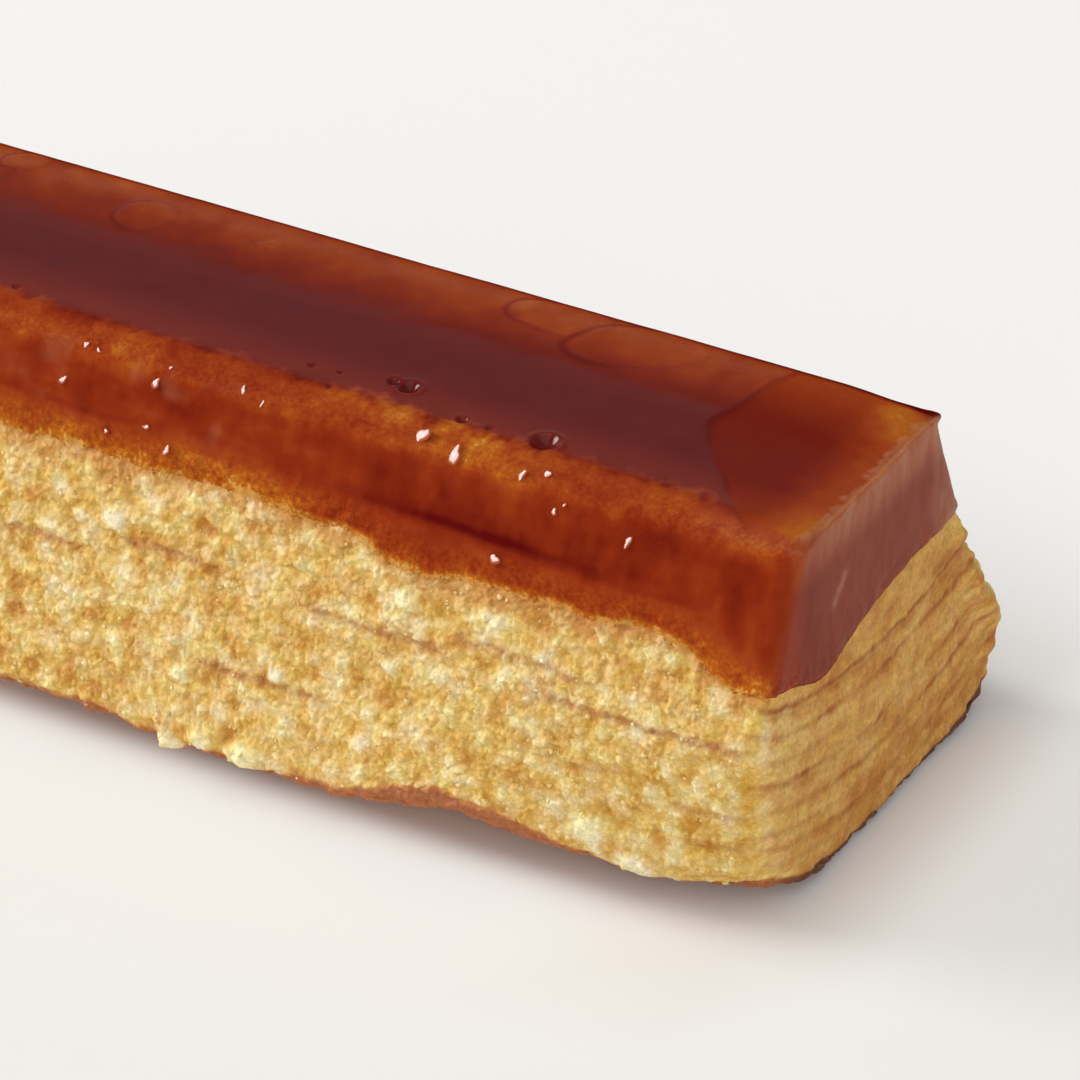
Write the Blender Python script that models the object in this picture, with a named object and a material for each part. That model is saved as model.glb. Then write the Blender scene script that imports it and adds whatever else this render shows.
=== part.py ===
"""Bar of baumkuchen: a stick cut from a layered ring cake, under a cap of set caramel.

Metres, +Z up. The bar lies along X, its narrow caramel side up and the ring's browned outer
side down. Its origin is the middle of its box on the surface it rests on. The face shown best
is the long one on the -Y side, with the cut end at +X.
"""

import math

import bmesh
import bpy
import numpy as np
from mathutils import Vector, noise

MM = 0.001

# The bar, measured over the caramel.
LENGTH = 104.6 * MM
HEIGHT = 36.9 * MM
TOP_HALF_WIDTH = 12.2 * MM
FRONT_HALF_WIDTH = 24.4 * MM
BACK_HALF_WIDTH = 24.4 * MM
TOP_OFFSET_Y = -1.4 * MM
FRONT_WIDEST_Z = 6.5 * MM
BACK_WIDEST_Z = 8.5 * MM
FRONT_BULGE = 0.74
BACK_BULGE = 1.18

# The browned underside: level where the bar rests, lifting in front and curling up behind.
FLAT_FRONT_Y = -4.0 * MM
FLAT_BACK_Y = 11.5 * MM
FRONT_LIFT = 0.25
FRONT_LIFT_ROUNDING = 0.6 * MM
BACK_CURL_RADIUS = 29 * MM
UNDERSIDE_TUCK = 3.0 * MM

# Soft corners, seen from above, and the rounding along the top edges.
FRONT_CORNER = 4.2 * MM
BACK_CORNER = 1.6 * MM
TOP_EDGE = 1.1 * MM
CORE_EDGE = 0.5 * MM
END_FOOT = 1.6 * MM
END_NARROWING = 4.2 * MM
END_NARROWING_REACH = 34 * MM
END_NARROWING_TOP_Z = 20 * MM
END_NARROWING_FULL_Z = 5 * MM
FAR_END_NARROWING = 0.5

# The caramel cap and its wavy lower rim.
CAP_TOP = 1.3 * MM
CAP_SIDE = 0.9 * MM
CAP_RIM = 0.55 * MM
CAP_PROUD = 0.12 * MM
GAP = 0.33 * MM
RIM_LONG_Z = 28.0 * MM
RIM_END_Z = 24.3 * MM
RIM_FALL_START_X = 38.3 * MM
RIM_FALL_STOP_X = 46.3 * MM
DRIPS = (
    # x, y, depth, half width of each tongue of caramel
    (22.0 * MM, -20 * MM, 2.7 * MM, 9.0 * MM),
    (-22.0 * MM, -20 * MM, 1.2 * MM, 7.0 * MM),
    (52.5 * MM, -9.4 * MM, 3.0 * MM, 4.6 * MM),
    (-52.5 * MM, 5.0 * MM, 2.4 * MM, 5.0 * MM),
    (8.0 * MM, 18 * MM, 2.2 * MM, 8.0 * MM),
    (-34.0 * MM, 18 * MM, 2.8 * MM, 7.0 * MM),
)

# The baked layers, which show as ridges down the cut sides.
LAYER_RIDGE = 0.34 * MM
LAYER_UNEVENNESS = 0.5
LAYER_SAG_RADIUS = 110 * MM
CRUMB_LUMP = 0.62 * MM
CRUMB_LUMP_SIZE = 5.5 * MM
CRUMB_GRAIN = 0.42 * MM
CRUMB_GRAIN_SIZE = 2.4 * MM
CUT_END_ROUGHNESS = 0.3
SKIN_CRAG = 1.0 * MM
SKIN_CRAG_SIZE = 6.0 * MM
SKIN_CRAG_LOW = 1.5 * MM
SKIN_CRAG_HIGH = 5.5 * MM
RIDGE_SEED = 7

# Cells of the lattice that every surface is laid on.
CELLS_X = 46
CELLS_Y = 12
ROWS_BELOW = 13
ROWS_CAP = 4
LEDGE_ROW = ROWS_BELOW
RIM_ROW = ROWS_BELOW + 1
TOP_ROW = RIM_ROW + ROWS_CAP
CAP_THINNING_ROWS = 2

SPONGE_COLOUR = (0.70, 0.43, 0.13, 1.0)
SPONGE_ROUGHNESS = 0.85
CARAMEL_COLOUR = (0.16, 0.022, 0.012, 1.0)
CARAMEL_ROUGHNESS = 0.12
SHARP_ANGLE = math.radians(40)


def clear_scene():
    """Take every object out of the open file."""
    for item in list(bpy.data.objects):
        bpy.data.objects.remove(item, do_unlink=True)


def smooth(low, high, value):
    """Run from 0 to 1 as value goes from low to high, level at both ends."""
    t = np.clip((value - low) / (high - low), 0.0, 1.0)
    return t * t * (3.0 - 2.0 * t)


def side_faces(rows):
    """List the faces of the four sides between consecutive lattice rows, facing outwards."""
    ring = [(i, 0) for i in range(CELLS_X)]
    ring += [(CELLS_X, j) for j in range(CELLS_Y)]
    ring += [(i, CELLS_Y) for i in range(CELLS_X, 0, -1)]
    ring += [(0, j) for j in range(CELLS_Y, 0, -1)]
    faces = []
    for low, high in zip(rows[:-1], rows[1:]):
        for here, after in zip(ring, ring[1:] + ring[:1]):
            faces.append(((*here, low), (*after, low), (*after, high), (*here, high)))
    return faces


def flat_faces(row, upwards):
    """List the faces that close the lattice at one row."""
    faces = []
    for i in range(CELLS_X):
        for j in range(CELLS_Y):
            face = ((i, j, row), (i + 1, j, row), (i + 1, j + 1, row), (i, j + 1, row))
            faces.append(face if upwards else face[::-1])
    return faces


def underside_z(y):
    """Give the height of the skin: level, a rounded slope in front and an arc behind."""
    before = FRONT_LIFT * np.maximum(FLAT_FRONT_Y - y, 0.0)
    behind = np.maximum(y - FLAT_BACK_Y, 0.0)
    lift = np.hypot(before, FRONT_LIFT_ROUNDING) - FRONT_LIFT_ROUNDING
    return lift + behind * behind / (2.0 * BACK_CURL_RADIUS)


def rim_z(x, y):
    """Give the height of the caramel's lower rim: level sides, low ends and a few tongues."""
    z = RIM_LONG_Z + (RIM_END_Z - RIM_LONG_Z) * smooth(RIM_FALL_START_X, RIM_FALL_STOP_X, np.abs(x))
    for drip_x, drip_y, depth, half_width in DRIPS:
        far = ((x - drip_x) ** 2 + (y - drip_y) ** 2) / half_width**2
        z = z - depth * np.exp(-far)
    return z


def half_width(x, z, side, inset):
    """Give how far the bar reaches to one side, at a place along it and a height.

    The side swells from the top edge to its widest height as a power of the depth below the
    top. Under that it tucks in as a quarter of an ellipse. The front narrows near the ends.
    """
    front = side < 0
    widest = np.where(front, FRONT_HALF_WIDTH, BACK_HALF_WIDTH)
    widest_z = np.where(front, FRONT_WIDEST_Z, BACK_WIDEST_Z)
    bulge = np.where(front, FRONT_BULGE, BACK_BULGE)
    top = TOP_HALF_WIDTH + np.sign(side) * TOP_OFFSET_Y
    depth = np.clip((HEIGHT - z) / (HEIGHT - widest_z), 0.0, 1.0)
    reach = top + (widest - top) * depth**bulge
    foot = underside_z(side * (widest - UNDERSIDE_TUCK))
    under = np.clip((widest_z - z) / (widest_z - foot), 0.0, 1.0)
    reach = reach - UNDERSIDE_TUCK * (1.0 - np.sqrt(1.0 - under * under))
    low = smooth(END_NARROWING_TOP_Z, END_NARROWING_FULL_Z, z)
    near = smooth(LENGTH / 2 - END_NARROWING_REACH, LENGTH / 2, x)
    far = FAR_END_NARROWING * smooth(LENGTH / 2 - END_NARROWING_REACH, LENGTH / 2, -x)
    reach = reach - np.where(front, END_NARROWING, 0.0) * low * (near + far)
    return reach - inset


def half_length(z, inset):
    """Give how far the bar reaches to each end: upright, with a small rounded foot."""
    under = np.clip((END_FOOT - z) / END_FOOT, 0.0, 1.0)
    return LENGTH / 2 - END_FOOT * (1.0 - np.sqrt(1.0 - under * under)) - inset


def lattice_place(keys, inset, top_inset, edge):
    """Place lattice points on the bar's form, drawn in by the given insets.

    The rows under the cap share out the height between the skin and the rim. They sag in the
    middle as the baked layers do, and take up the rim's waves only near it. The rim's height
    and the width at a height depend on each other, so the place is found in three rounds.

    Args:
        keys: lattice points as rows of i, j and row number.
        inset: how far the sides are drawn in at each point.
        top_inset: how far the top is lowered.
        edge: radius of the rounding along the top edge.
    """
    a, b, row = square_place(keys)
    side = np.where(b < 0.0, -1.0, 1.0)
    share = np.clip(row / LEDGE_ROW, 0.0, 1.0)
    up = np.clip((row - RIM_ROW) / (TOP_ROW - 1 - RIM_ROW), 0.0, 1.0)
    over = np.where(row == TOP_ROW, edge, 0.0)
    top = HEIGHT - top_inset
    x, y = a * LENGTH / 2, b * TOP_HALF_WIDTH
    for _ in range(3):
        rim = rim_z(x, y)
        skin = underside_z(y)
        sag = 2.0 * y * y / LAYER_SAG_RADIUS * share * (1.0 - share)
        level = skin + share * (RIM_END_Z - skin) + sag + share**3 * (rim - GAP - RIM_END_Z)
        z = np.where(row <= LEDGE_ROW, level, rim + up * (top - edge - rim))
        z = np.where(row == TOP_ROW, top, z)
        reach_y = half_width(x, z, side, inset) - over
        reach_x = half_length(z, inset) - over
        x, y = round_corners(a, b, reach_x, reach_y)
    return np.column_stack((x, y, z))


def square_place(keys):
    """Give each lattice point's place on a square from -1 to 1 both ways, and its row."""
    return 2.0 * keys[:, 0] / CELLS_X - 1.0, 2.0 * keys[:, 1] / CELLS_Y - 1.0, keys[:, 2]


def round_corners(a, b, reach_x, reach_y):
    """Turn a square of lattice points into a rectangle whose corners are quarter discs."""
    corner = np.where(b < 0.0, FRONT_CORNER, BACK_CORNER)
    x = a * reach_x
    y = b * reach_y
    core_x = np.clip(x, corner - reach_x, reach_x - corner)
    core_y = np.clip(y, corner - reach_y, reach_y - corner)
    out_x, out_y = x - core_x, y - core_y
    square = np.maximum(np.abs(out_x), np.abs(out_y))
    disc = np.maximum(np.hypot(out_x, out_y), 1e-9)
    return core_x + out_x * square / disc, core_y + out_y * square / disc


def crumb(place, size, seed):
    """Give a smooth random height from -1 to 1 at each place, with lumps of the given size."""
    shift = Vector((17.3 * seed, 5.1 * seed, -9.7 * seed))
    return np.array([noise.noise(Vector(p) / size + shift) for p in place.tolist()])


def sponge_relief(keys, place):
    """Give how far each point of the sponge stands out of its form.

    The layers stand out as ridges, a row out and a row in. The torn long sides have lumps and
    grain, the cut ends are smoother, and the browned skin breaks off in crags along its edge.
    """
    a, b, row = square_place(keys)
    rough = np.where(np.abs(b) < 1.0, CUT_END_ROUGHNESS, 1.0)
    uneven = np.random.default_rng(RIDGE_SEED).uniform(-1.0, 1.0, TOP_ROW + 1)
    depth = LAYER_RIDGE * (1.0 + LAYER_UNEVENNESS * uneven[row.astype(int)])
    ridge = np.where(row % 2 == 0, -depth, depth)
    lumps = CRUMB_LUMP * crumb(place, CRUMB_LUMP_SIZE, 1)
    grain = CRUMB_GRAIN * crumb(place, CRUMB_GRAIN_SIZE, 2)
    above_skin = place[:, 2] - underside_z(place[:, 1])
    crags = SKIN_CRAG * crumb(place, SKIN_CRAG_SIZE, 3) * smooth(SKIN_CRAG_HIGH, SKIN_CRAG_LOW, above_skin)
    bare = smooth(LEDGE_ROW, LEDGE_ROW - 2, row)
    return rough * bare * (ridge + lumps + grain + crags)


def build_mesh(name, places, faces):
    """Make a mesh from lattice faces whose corners are keys of the places."""
    shape = bmesh.new()
    corners = {key: shape.verts.new(place) for key, place in places.items()}
    for face in faces:
        shape.faces.new([corners[key] for key in face])
    bmesh.ops.recalc_face_normals(shape, faces=shape.faces)
    bmesh.ops.triangulate(shape, faces=shape.faces, quad_method="SHORT_EDGE")
    mesh = bpy.data.meshes.new(name)
    shape.to_mesh(mesh)
    shape.free()
    return mesh


def add_node(name, mesh, colour, roughness):
    """Put a mesh into the scene under its name, with a material of its own."""
    material = bpy.data.materials.new(name)
    material.use_nodes = True
    surface = material.node_tree.nodes["Principled BSDF"]
    surface.inputs["Base Color"].default_value = colour
    surface.inputs["Roughness"].default_value = roughness
    surface.inputs["Metallic"].default_value = 0.0
    mesh.materials.append(material)
    mesh.shade_smooth()
    mesh.set_sharp_from_angle(angle=SHARP_ANGLE)
    item = bpy.data.objects.new(name, mesh)
    bpy.context.scene.collection.objects.link(item)
    return item


def lattice_keys(faces):
    """List every lattice point that the faces use, in order."""
    return sorted({key for face in faces for key in face})


def outward(keys):
    """Give the level direction in which each side point stands out."""
    a, b, _ = square_place(keys)
    x = np.where(np.abs(a) == 1.0, a, 0.0)
    y = np.where(np.abs(b) == 1.0, b, 0.0)
    size = np.maximum(np.hypot(x, y), 1.0)
    return np.column_stack((x / size, y / size, np.zeros(len(keys))))


def side_wall(keys):
    """Give the caramel's thickness down the sides: full at the top, thin at the rim."""
    up = np.clip((keys[:, 2] - RIM_ROW) / CAP_THINNING_ROWS, 0.0, 1.0)
    return CAP_RIM + (CAP_SIDE - CAP_RIM) * up


def sponge():
    """Build the cake itself: one solid bar, recessed where the caramel covers it."""
    faces = side_faces(range(TOP_ROW + 1)) + flat_faces(0, False) + flat_faces(TOP_ROW, True)
    names = lattice_keys(faces)
    keys = np.array(names, dtype=float)
    inset = np.where(keys[:, 2] >= RIM_ROW, side_wall(keys) + GAP, 0.0)
    place = lattice_place(keys, inset, CAP_TOP + GAP, CORE_EDGE)
    place[:, 2] -= np.where(keys[:, 2] == RIM_ROW, GAP, 0.0)
    place += outward(keys) * sponge_relief(keys, place)[:, None]
    places = dict(zip(names, place.tolist()))
    return add_node("sponge", build_mesh("sponge", places, faces), SPONGE_COLOUR, SPONGE_ROUGHNESS)


def caramel():
    """Build the caramel: a lid over the top and the upper sides, thin at its wavy rim."""
    rows = range(RIM_ROW, TOP_ROW + 1)
    lid = side_faces(rows) + flat_faces(TOP_ROW, True)
    names = lattice_keys(lid)
    keys = np.array(names, dtype=float)
    inner = lattice_place(keys, side_wall(keys), CAP_TOP, CORE_EDGE)
    outer = lattice_place(keys, np.full(len(keys), -CAP_PROUD), 0.0, TOP_EDGE)
    places = {("out", *key): place for key, place in zip(names, outer.tolist())}
    places.update({("in", *key): place for key, place in zip(names, inner.tolist())})
    faces = [tuple(("out", *key) for key in face) for face in lid]
    faces += [tuple(("in", *key) for key in face[::-1]) for face in lid]
    for low, after, _, _ in side_faces(range(RIM_ROW, RIM_ROW + 2)):
        faces.append((("in", *low), ("in", *after), ("out", *after), ("out", *low)))
    return add_node("caramel", build_mesh("caramel", places, faces), CARAMEL_COLOUR, CARAMEL_ROUGHNESS)


def centre_on_box(items):
    """Slide the pieces together so that the middle of their box stands on the origin."""
    points = np.array([v.co for item in items for v in item.data.vertices])
    low, high = points.min(axis=0), points.max(axis=0)
    shift = Vector((-(low[0] + high[0]) / 2, -(low[1] + high[1]) / 2, -low[2]))
    for item in items:
        for vertex in item.data.vertices:
            vertex.co += shift


clear_scene()
centre_on_box([sponge(), caramel()])
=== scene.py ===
"""Looks of the baumkuchen bar: torn golden crumb, browned layer lines and a cap of set caramel.

Every shape is worked out in millimetres, in the part's own frame, and turned into metres when
its mesh is made. The bar lies along X with its narrow side up; -Y is the long face shown best.
"""

import logging
import math
from dataclasses import dataclass
from enum import Enum
from typing import Callable

import bpy
import numpy as np
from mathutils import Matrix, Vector


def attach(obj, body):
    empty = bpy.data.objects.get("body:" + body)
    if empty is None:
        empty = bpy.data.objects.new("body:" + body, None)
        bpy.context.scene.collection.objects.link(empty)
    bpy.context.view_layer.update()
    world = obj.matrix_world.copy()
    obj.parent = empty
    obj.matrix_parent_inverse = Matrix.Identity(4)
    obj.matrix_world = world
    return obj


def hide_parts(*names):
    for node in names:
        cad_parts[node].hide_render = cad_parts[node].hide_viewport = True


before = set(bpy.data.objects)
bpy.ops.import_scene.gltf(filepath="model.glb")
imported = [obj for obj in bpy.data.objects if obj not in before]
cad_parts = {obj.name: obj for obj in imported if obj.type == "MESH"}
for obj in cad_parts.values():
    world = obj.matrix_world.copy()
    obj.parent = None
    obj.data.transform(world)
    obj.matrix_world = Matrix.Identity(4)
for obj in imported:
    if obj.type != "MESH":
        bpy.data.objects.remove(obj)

log = logging.getLogger("baumkuchen")
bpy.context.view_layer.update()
BODY = "root"
MM = 0.001
CRUMB_GROUP = "Open crumb"
# Marks of crumb far below the rim, without tone, browned line or skin.
PLAIN = {"rim": -9.0, "tone": 0.0, "line": 0.0, "skin": 0.0}

Array = np.ndarray
Colour = tuple[float, float, float]
Spot = tuple[float, float, float]
Height = Callable[[Array, Array], Array]
Socket = bpy.types.NodeSocket


def smooth(low: float, high: float, value: Array) -> Array:
    """Run from 0 to 1 as the value goes from low to high, level at both ends.

    Args:
        low: where the run starts; it may be above high, and then the run falls.
        high: where it stops.
        value: the values to weigh.

    Returns:
        Three times the square less twice the cube of the share of the way.
    """
    share = np.clip((value - low) / (high - low), 0.0, 1.0)
    return share * share * (3.0 - 2.0 * share)


def bell(value: Array, middle: float, spread: float) -> Array:
    """Give 1 at the middle, falling off as e to the minus square of the distance over the spread."""
    return np.exp(-(((value - middle) / spread) ** 2))


def window(value: Array, opens: tuple[float, float], closes: tuple[float, float]) -> Array:
    """Open from 0 to 1 over one stretch and close again over another.

    Args:
        value: the values to weigh.
        opens: where it starts to open and where it stands open.
        closes: where it is shut again and where it starts to shut.

    Returns:
        The product of the two smooth runs.
    """
    return smooth(*opens, value) * smooth(*closes, value)


def on_plan(x: Array, y: Array) -> Array:
    """Give places as seen from above, one row each, all at height 0."""
    return np.column_stack((x, y, np.zeros_like(x)))


class Grain:
    """Fixed random fields over space, for relief and for scattering."""

    FACTORS = (73856093, 19349663, 83492791)
    MASK = 0xFFFFFFFF

    @classmethod
    def dice(cls, cells: Array, seed: int) -> Array:
        """Throw one fixed number for each whole-number cell.

        Each coordinate is multiplied by a large number of its own, and the products are mixed
        by exclusive or, shifts and two more multiplications.

        Args:
            cells: whole numbers, the last axis holding x, y and z.
            seed: picks another set of throws.

        Returns:
            Numbers from 0 to 1, one for each cell.
        """
        mixed = np.full(cells.shape[:-1], (seed * 2654435761) & cls.MASK, dtype=np.int64)
        for axis, factor in enumerate(cls.FACTORS):
            mixed ^= (cells[..., axis].astype(np.int64) * factor) & cls.MASK
        mixed = ((mixed ^ (mixed >> 15)) * 0x2C1B3C6D) & cls.MASK
        mixed = ((mixed ^ (mixed >> 12)) * 0x297A2D39) & cls.MASK
        return ((mixed ^ (mixed >> 15)) & 0xFFFFFF) / float(0x1000000)

    @classmethod
    def soft(cls, places: Array, size: float, seed: int) -> Array:
        """Give a smooth field from -1 to 1 whose swells are about the given size apart.

        The eight throws round each place are blended by the smooth run along each axis.

        Args:
            places: points, one row each, in millimetres.
            size: distance between throws.
            seed: picks another field.

        Returns:
            The field's value at each point.
        """
        scaled = places / size
        cell = np.floor(scaled).astype(np.int64)
        share = scaled - cell
        share = share * share * (3.0 - 2.0 * share)
        total = np.zeros(len(places))
        for corner in np.ndindex(2, 2, 2):
            side = np.array(corner)
            weight = np.prod(np.where(side == 1, share, 1.0 - share), axis=1)
            total += weight * cls.dice(cell + side, seed)
        return 2.0 * total - 1.0

    @classmethod
    def mixed(cls, places: Array, *fields: tuple[float, float, int]) -> Array:
        """Sum soft fields, each given by its rise, its size in millimetres and its seed."""
        return sum(rise * cls.soft(places, size, seed) for rise, size, seed in fields)

    @classmethod
    def lumps(cls, places: Array, size: float, seed: int) -> tuple[Array, Array]:
        """Split space into grains round scattered centres.

        Every cell holds one centre at a random place, and the nearest of the 27 round about
        wins.

        Args:
            places: points, one row each, in millimetres.
            size: mean distance between centres.
            seed: picks other grains.

        Returns:
            The distance to the nearest centre in units of size, and that grain's own number.
        """
        scaled = places / size
        cell = np.floor(scaled).astype(np.int64)
        nearest = np.full(len(places), 9.0)
        number = np.zeros(len(places))
        for step in np.ndindex(3, 3, 3):
            here = cell + np.array(step) - 1
            centre = np.stack([cls.dice(here, seed + 11 * k) for k in range(3)], axis=1) + here
            far = np.linalg.norm(scaled - centre, axis=1)
            closer = far < nearest
            nearest = np.where(closer, far, nearest)
            number = np.where(closer, cls.dice(here, seed + 77), number)
        return nearest, number


class Side(Enum):
    """The four upright sides, each with its run round the bar seen from above."""

    FRONT = "front"
    RIGHT = "right_end"
    BACK = "back"
    LEFT = "left_end"

    def run(self, share: Array) -> tuple[Array, Array]:
        """Place points of this side on the border of a square from -1 to 1 both ways.

        Args:
            share: places along the side, from -1 to 1.

        Returns:
            The points' places along the square and across it.
        """
        one = np.ones_like(share)
        return {
            Side.FRONT: (share, -one),
            Side.RIGHT: (one, share),
            Side.BACK: (-share, one),
            Side.LEFT: (-one, -share),
        }[self]


@dataclass(frozen=True)
class Tongue:
    """A place where the caramel ran further down, in plan, with its depth and half width."""

    x: float
    y: float
    depth: float
    reach: float


@dataclass(frozen=True)
class BarForm:
    """The bar's form, with the sizes of the solid model, in millimetres."""

    length: float = 104.6
    height: float = 36.9
    top_half_width: float = 12.2
    half_width: float = 24.4
    top_offset: float = -1.4
    front_widest_z: float = 6.5
    back_widest_z: float = 8.5
    front_bulge: float = 0.74
    back_bulge: float = 1.18
    flat_front: float = -4.0
    flat_back: float = 11.5
    front_lift: float = 0.25
    front_lift_rounding: float = 0.6
    back_curl_radius: float = 29.0
    tuck: float = 3.0
    front_corner: float = 4.2
    back_corner: float = 1.6
    cap_corner: float = 1.2
    end_foot: float = 1.6
    narrowing: float = 4.2
    narrowing_reach: float = 34.0
    rim_long: float = 28.0
    rim_end: float = 24.3
    rim_fall: tuple[float, float] = (39.0, 50.0)
    layer_middle: float = 3.6
    layer_radius: float = 60.0
    foot_rise: float = 1.25
    foot_dip: float = 0.9
    foot_sag: float = 0.75
    foot_left_sag: float = 0.4
    grains: tuple[tuple[float, float, int], ...] = ((1.3, 0.30, 3), (0.66, 0.26, 4), (0.36, 0.15, 5))
    tongues: tuple[Tongue, ...] = (
        Tongue(19.0, -20.0, 2.4, 7.5),
        Tongue(34.0, -20.0, 1.8, 7.0),
        Tongue(-22.0, -20.0, 0.5, 7.0),
        Tongue(52.5, -9.4, 3.0, 5.4),
        Tongue(52.5, -1.0, 0.6, 5.0),
        Tongue(-52.5, 5.0, 2.4, 5.0),
        Tongue(8.0, 18.0, 2.2, 8.0),
        Tongue(-34.0, 18.0, 2.8, 7.0),
    )

    def underside(self, y: Array) -> Array:
        """Give the height of the skin: level, a rounded slope in front and an arc behind.

        Args:
            y: places across the bar.

        Returns:
            Heights in millimetres.
        """
        before = self.front_lift * np.maximum(self.flat_front - y, 0.0)
        behind = np.maximum(y - self.flat_back, 0.0)
        lift = np.hypot(before, self.front_lift_rounding) - self.front_lift_rounding
        return lift + behind * behind / (2.0 * self.back_curl_radius)

    def rim(self, x: Array, y: Array) -> Array:
        """Give the height of the caramel's rim: level sides, low ends, tongues and small waves.

        A tongue lowers the rim by its depth times a bell over the distance in plan.

        Args:
            x: places along the bar.
            y: places across it.

        Returns:
            Heights in millimetres.
        """
        z = self.rim_long + (self.rim_end - self.rim_long) * smooth(*self.rim_fall, np.abs(x))
        for tongue in self.tongues:
            far = ((x - tongue.x) ** 2 + (y - tongue.y) ** 2) / tongue.reach**2
            z = z - tongue.depth * np.exp(-far)
        long_side = smooth(1.0, 9.0, self.length / 2 - np.abs(x))
        waves = Grain.mixed(on_plan(x, y), (0.32, 5.0, 31), (0.22, 1.7, 32))
        return z + waves * (0.15 + 0.85 * long_side)

    def layer(self, places: Array) -> Array:
        """Give each place's height in the baked layers, which sag towards the bar's middle."""
        return places[:, 2] - (places[:, 1] - self.layer_middle) ** 2 / (2.0 * self.layer_radius)

    def reach_across(self, x: Array, z: Array, front: Array) -> Array:
        """Give how far the bar reaches to the front or the back.

        The side swells from the top edge to its widest height as a power of the depth below
        the top, and tucks in under that as a quarter of an ellipse. The front narrows towards
        the ends.

        Args:
            x: places along the bar.
            z: heights.
            front: true for points of the front half.

        Returns:
            Distances from the bar's middle plane.
        """
        widest_z = np.where(front, self.front_widest_z, self.back_widest_z)
        bulge = np.where(front, self.front_bulge, self.back_bulge)
        sign = np.where(front, -1.0, 1.0)
        top = self.top_half_width + sign * self.top_offset
        depth = np.clip((self.height - z) / (self.height - widest_z), 0.0, 1.0)
        reach = top + (self.half_width - top) * depth**bulge
        foot = self.underside(sign * (self.half_width - self.tuck))
        under = np.clip((widest_z - z) / (widest_z - foot), 0.0, 1.0)
        reach = reach - self.tuck * (1.0 - np.sqrt(1.0 - under * under))
        start = self.length / 2 - self.narrowing_reach
        ends = smooth(start, self.length / 2, x) + 0.5 * smooth(start, self.length / 2, -x)
        return reach - np.where(front, self.narrowing, 0.0) * smooth(20.0, 5.0, z) * ends

    def settle(self, places: Array) -> Array:
        """Let the front foot sag and rise along the bar, as the photographed one does.

        The shift is a sum of bells and smooth runs over x. It fades out with the height and
        away from the front.

        Args:
            places: points on the form, which are moved in place.

        Returns:
            The same points.
        """
        x, y, z = places.T
        shift = self.foot_rise * bell(x, 24.0, 5.5) - self.foot_dip * bell(x, 42.0, 5.0)
        shift = shift - self.foot_sag * window(x, (-16.0, -5.0), (19.0, 12.0))
        shift = shift - self.foot_left_sag * smooth(-16.0, -30.0, x)
        places[:, 2] += shift * smooth(11.0, 5.0, z) * smooth(-12.0, -20.0, y)
        return places

    def corner(self, z: Array, front: Array) -> Array:
        """Give the plan's corner radius: wide in the soft cake, small in the set caramel."""
        low = np.where(front, self.front_corner + 2.2 * smooth(10.0, 4.0, z), self.back_corner)
        return low + (self.cap_corner - low) * smooth(15.0, 25.0, z)

    def reach_along(self, z: Array) -> Array:
        """Give how far the bar reaches to each end: upright, with a small rounded foot."""
        under = np.clip((self.end_foot - z) / self.end_foot, 0.0, 1.0)
        return self.length / 2 - self.end_foot * (1.0 - np.sqrt(1.0 - under * under))

    def stand(
        self,
        a: Array,
        b: Array,
        height: Height,
        pull_along: Array | float = 0.0,
        pull_across: Array | float = 0.0,
    ) -> tuple[Array, Array]:
        """Place points of a square from -1 to 1 on the bar's plan at each one's own height.

        The square is stretched to the reach at that height, and its corners are turned into
        quarter discs. Height and plan depend on each other, so both are found in four rounds.

        Args:
            a: places along the square.
            b: places across it.
            height: gives the height from x and y.
            pull_along: how far the ends are drawn in.
            pull_across: how far the long sides are drawn in.

        Returns:
            The points, one row each, and the level direction in which each stands out.
        """
        front = b < 0.0
        x, y = a * self.length / 2, b * self.half_width * 0.8
        for _ in range(4):
            z = height(x, y)
            along = self.reach_along(z) - pull_along
            across = self.reach_across(x, z, front) - pull_across
            corner = self.corner(z, front)
            core_x = np.clip(a * along, corner - along, along - corner)
            core_y = np.clip(b * across, corner - across, across - corner)
            out_x, out_y = a * along - core_x, b * across - core_y
            square = np.maximum(np.abs(out_x), np.abs(out_y))
            disc = np.maximum(np.hypot(out_x, out_y), 1e-9)
            x, y = core_x + out_x * square / disc, core_y + out_y * square / disc
        outward = np.column_stack((out_x / disc, out_y / disc, np.zeros_like(x)))
        return np.column_stack((x, y, z)), outward

    def tornness(self, places: Array, outward: Array) -> Array:
        """Give 1 on the torn long sides and little on the cut ends, blended round the corners."""
        border = np.where(outward[:, 1] < 0.0, 2.6, 1.2)
        inside = smooth(-0.3, border, self.length / 2 - np.abs(places[:, 0]))
        return inside * smooth(0.2, 0.7, np.abs(outward[:, 1]))

    def facing(self, outward: Array) -> Array:
        """Give 1 where the wall faces the front or the back and 0 where it faces an end."""
        return smooth(0.2, 0.75, np.abs(outward[:, 1]))

    def crags(self, places: Array) -> Array:
        """Give the broken edges' relief: the two back corners and the foot all round.

        The back corners' share falls off with the level distance from the corner, and the
        foot's with the height above the skin. Both carry noise of two sizes.

        Args:
            places: points on the form.

        Returns:
            Heights in millimetres.
        """
        x, y, z = places.T
        back = self.reach_across(x, z, np.zeros(len(x), dtype=bool))
        far = np.hypot(self.length / 2 - np.abs(x), np.maximum(back - y, 0.0))
        corner = smooth(4.0, 0.3, far) * smooth(27.0, 22.0, z)
        foot = smooth(2.2, 0.2, z - self.underside(y))
        broken = Grain.mixed(places, (0.62, 2.4, 12), (0.42, 1.0, 13))
        bulge = 1.3 * bell(z, 12.5, 6.0) * smooth(0.0, 20.0, x)
        return corner * (broken - 0.1 + bulge) + foot * 0.45 * Grain.soft(places, 1.2, 14)

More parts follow.
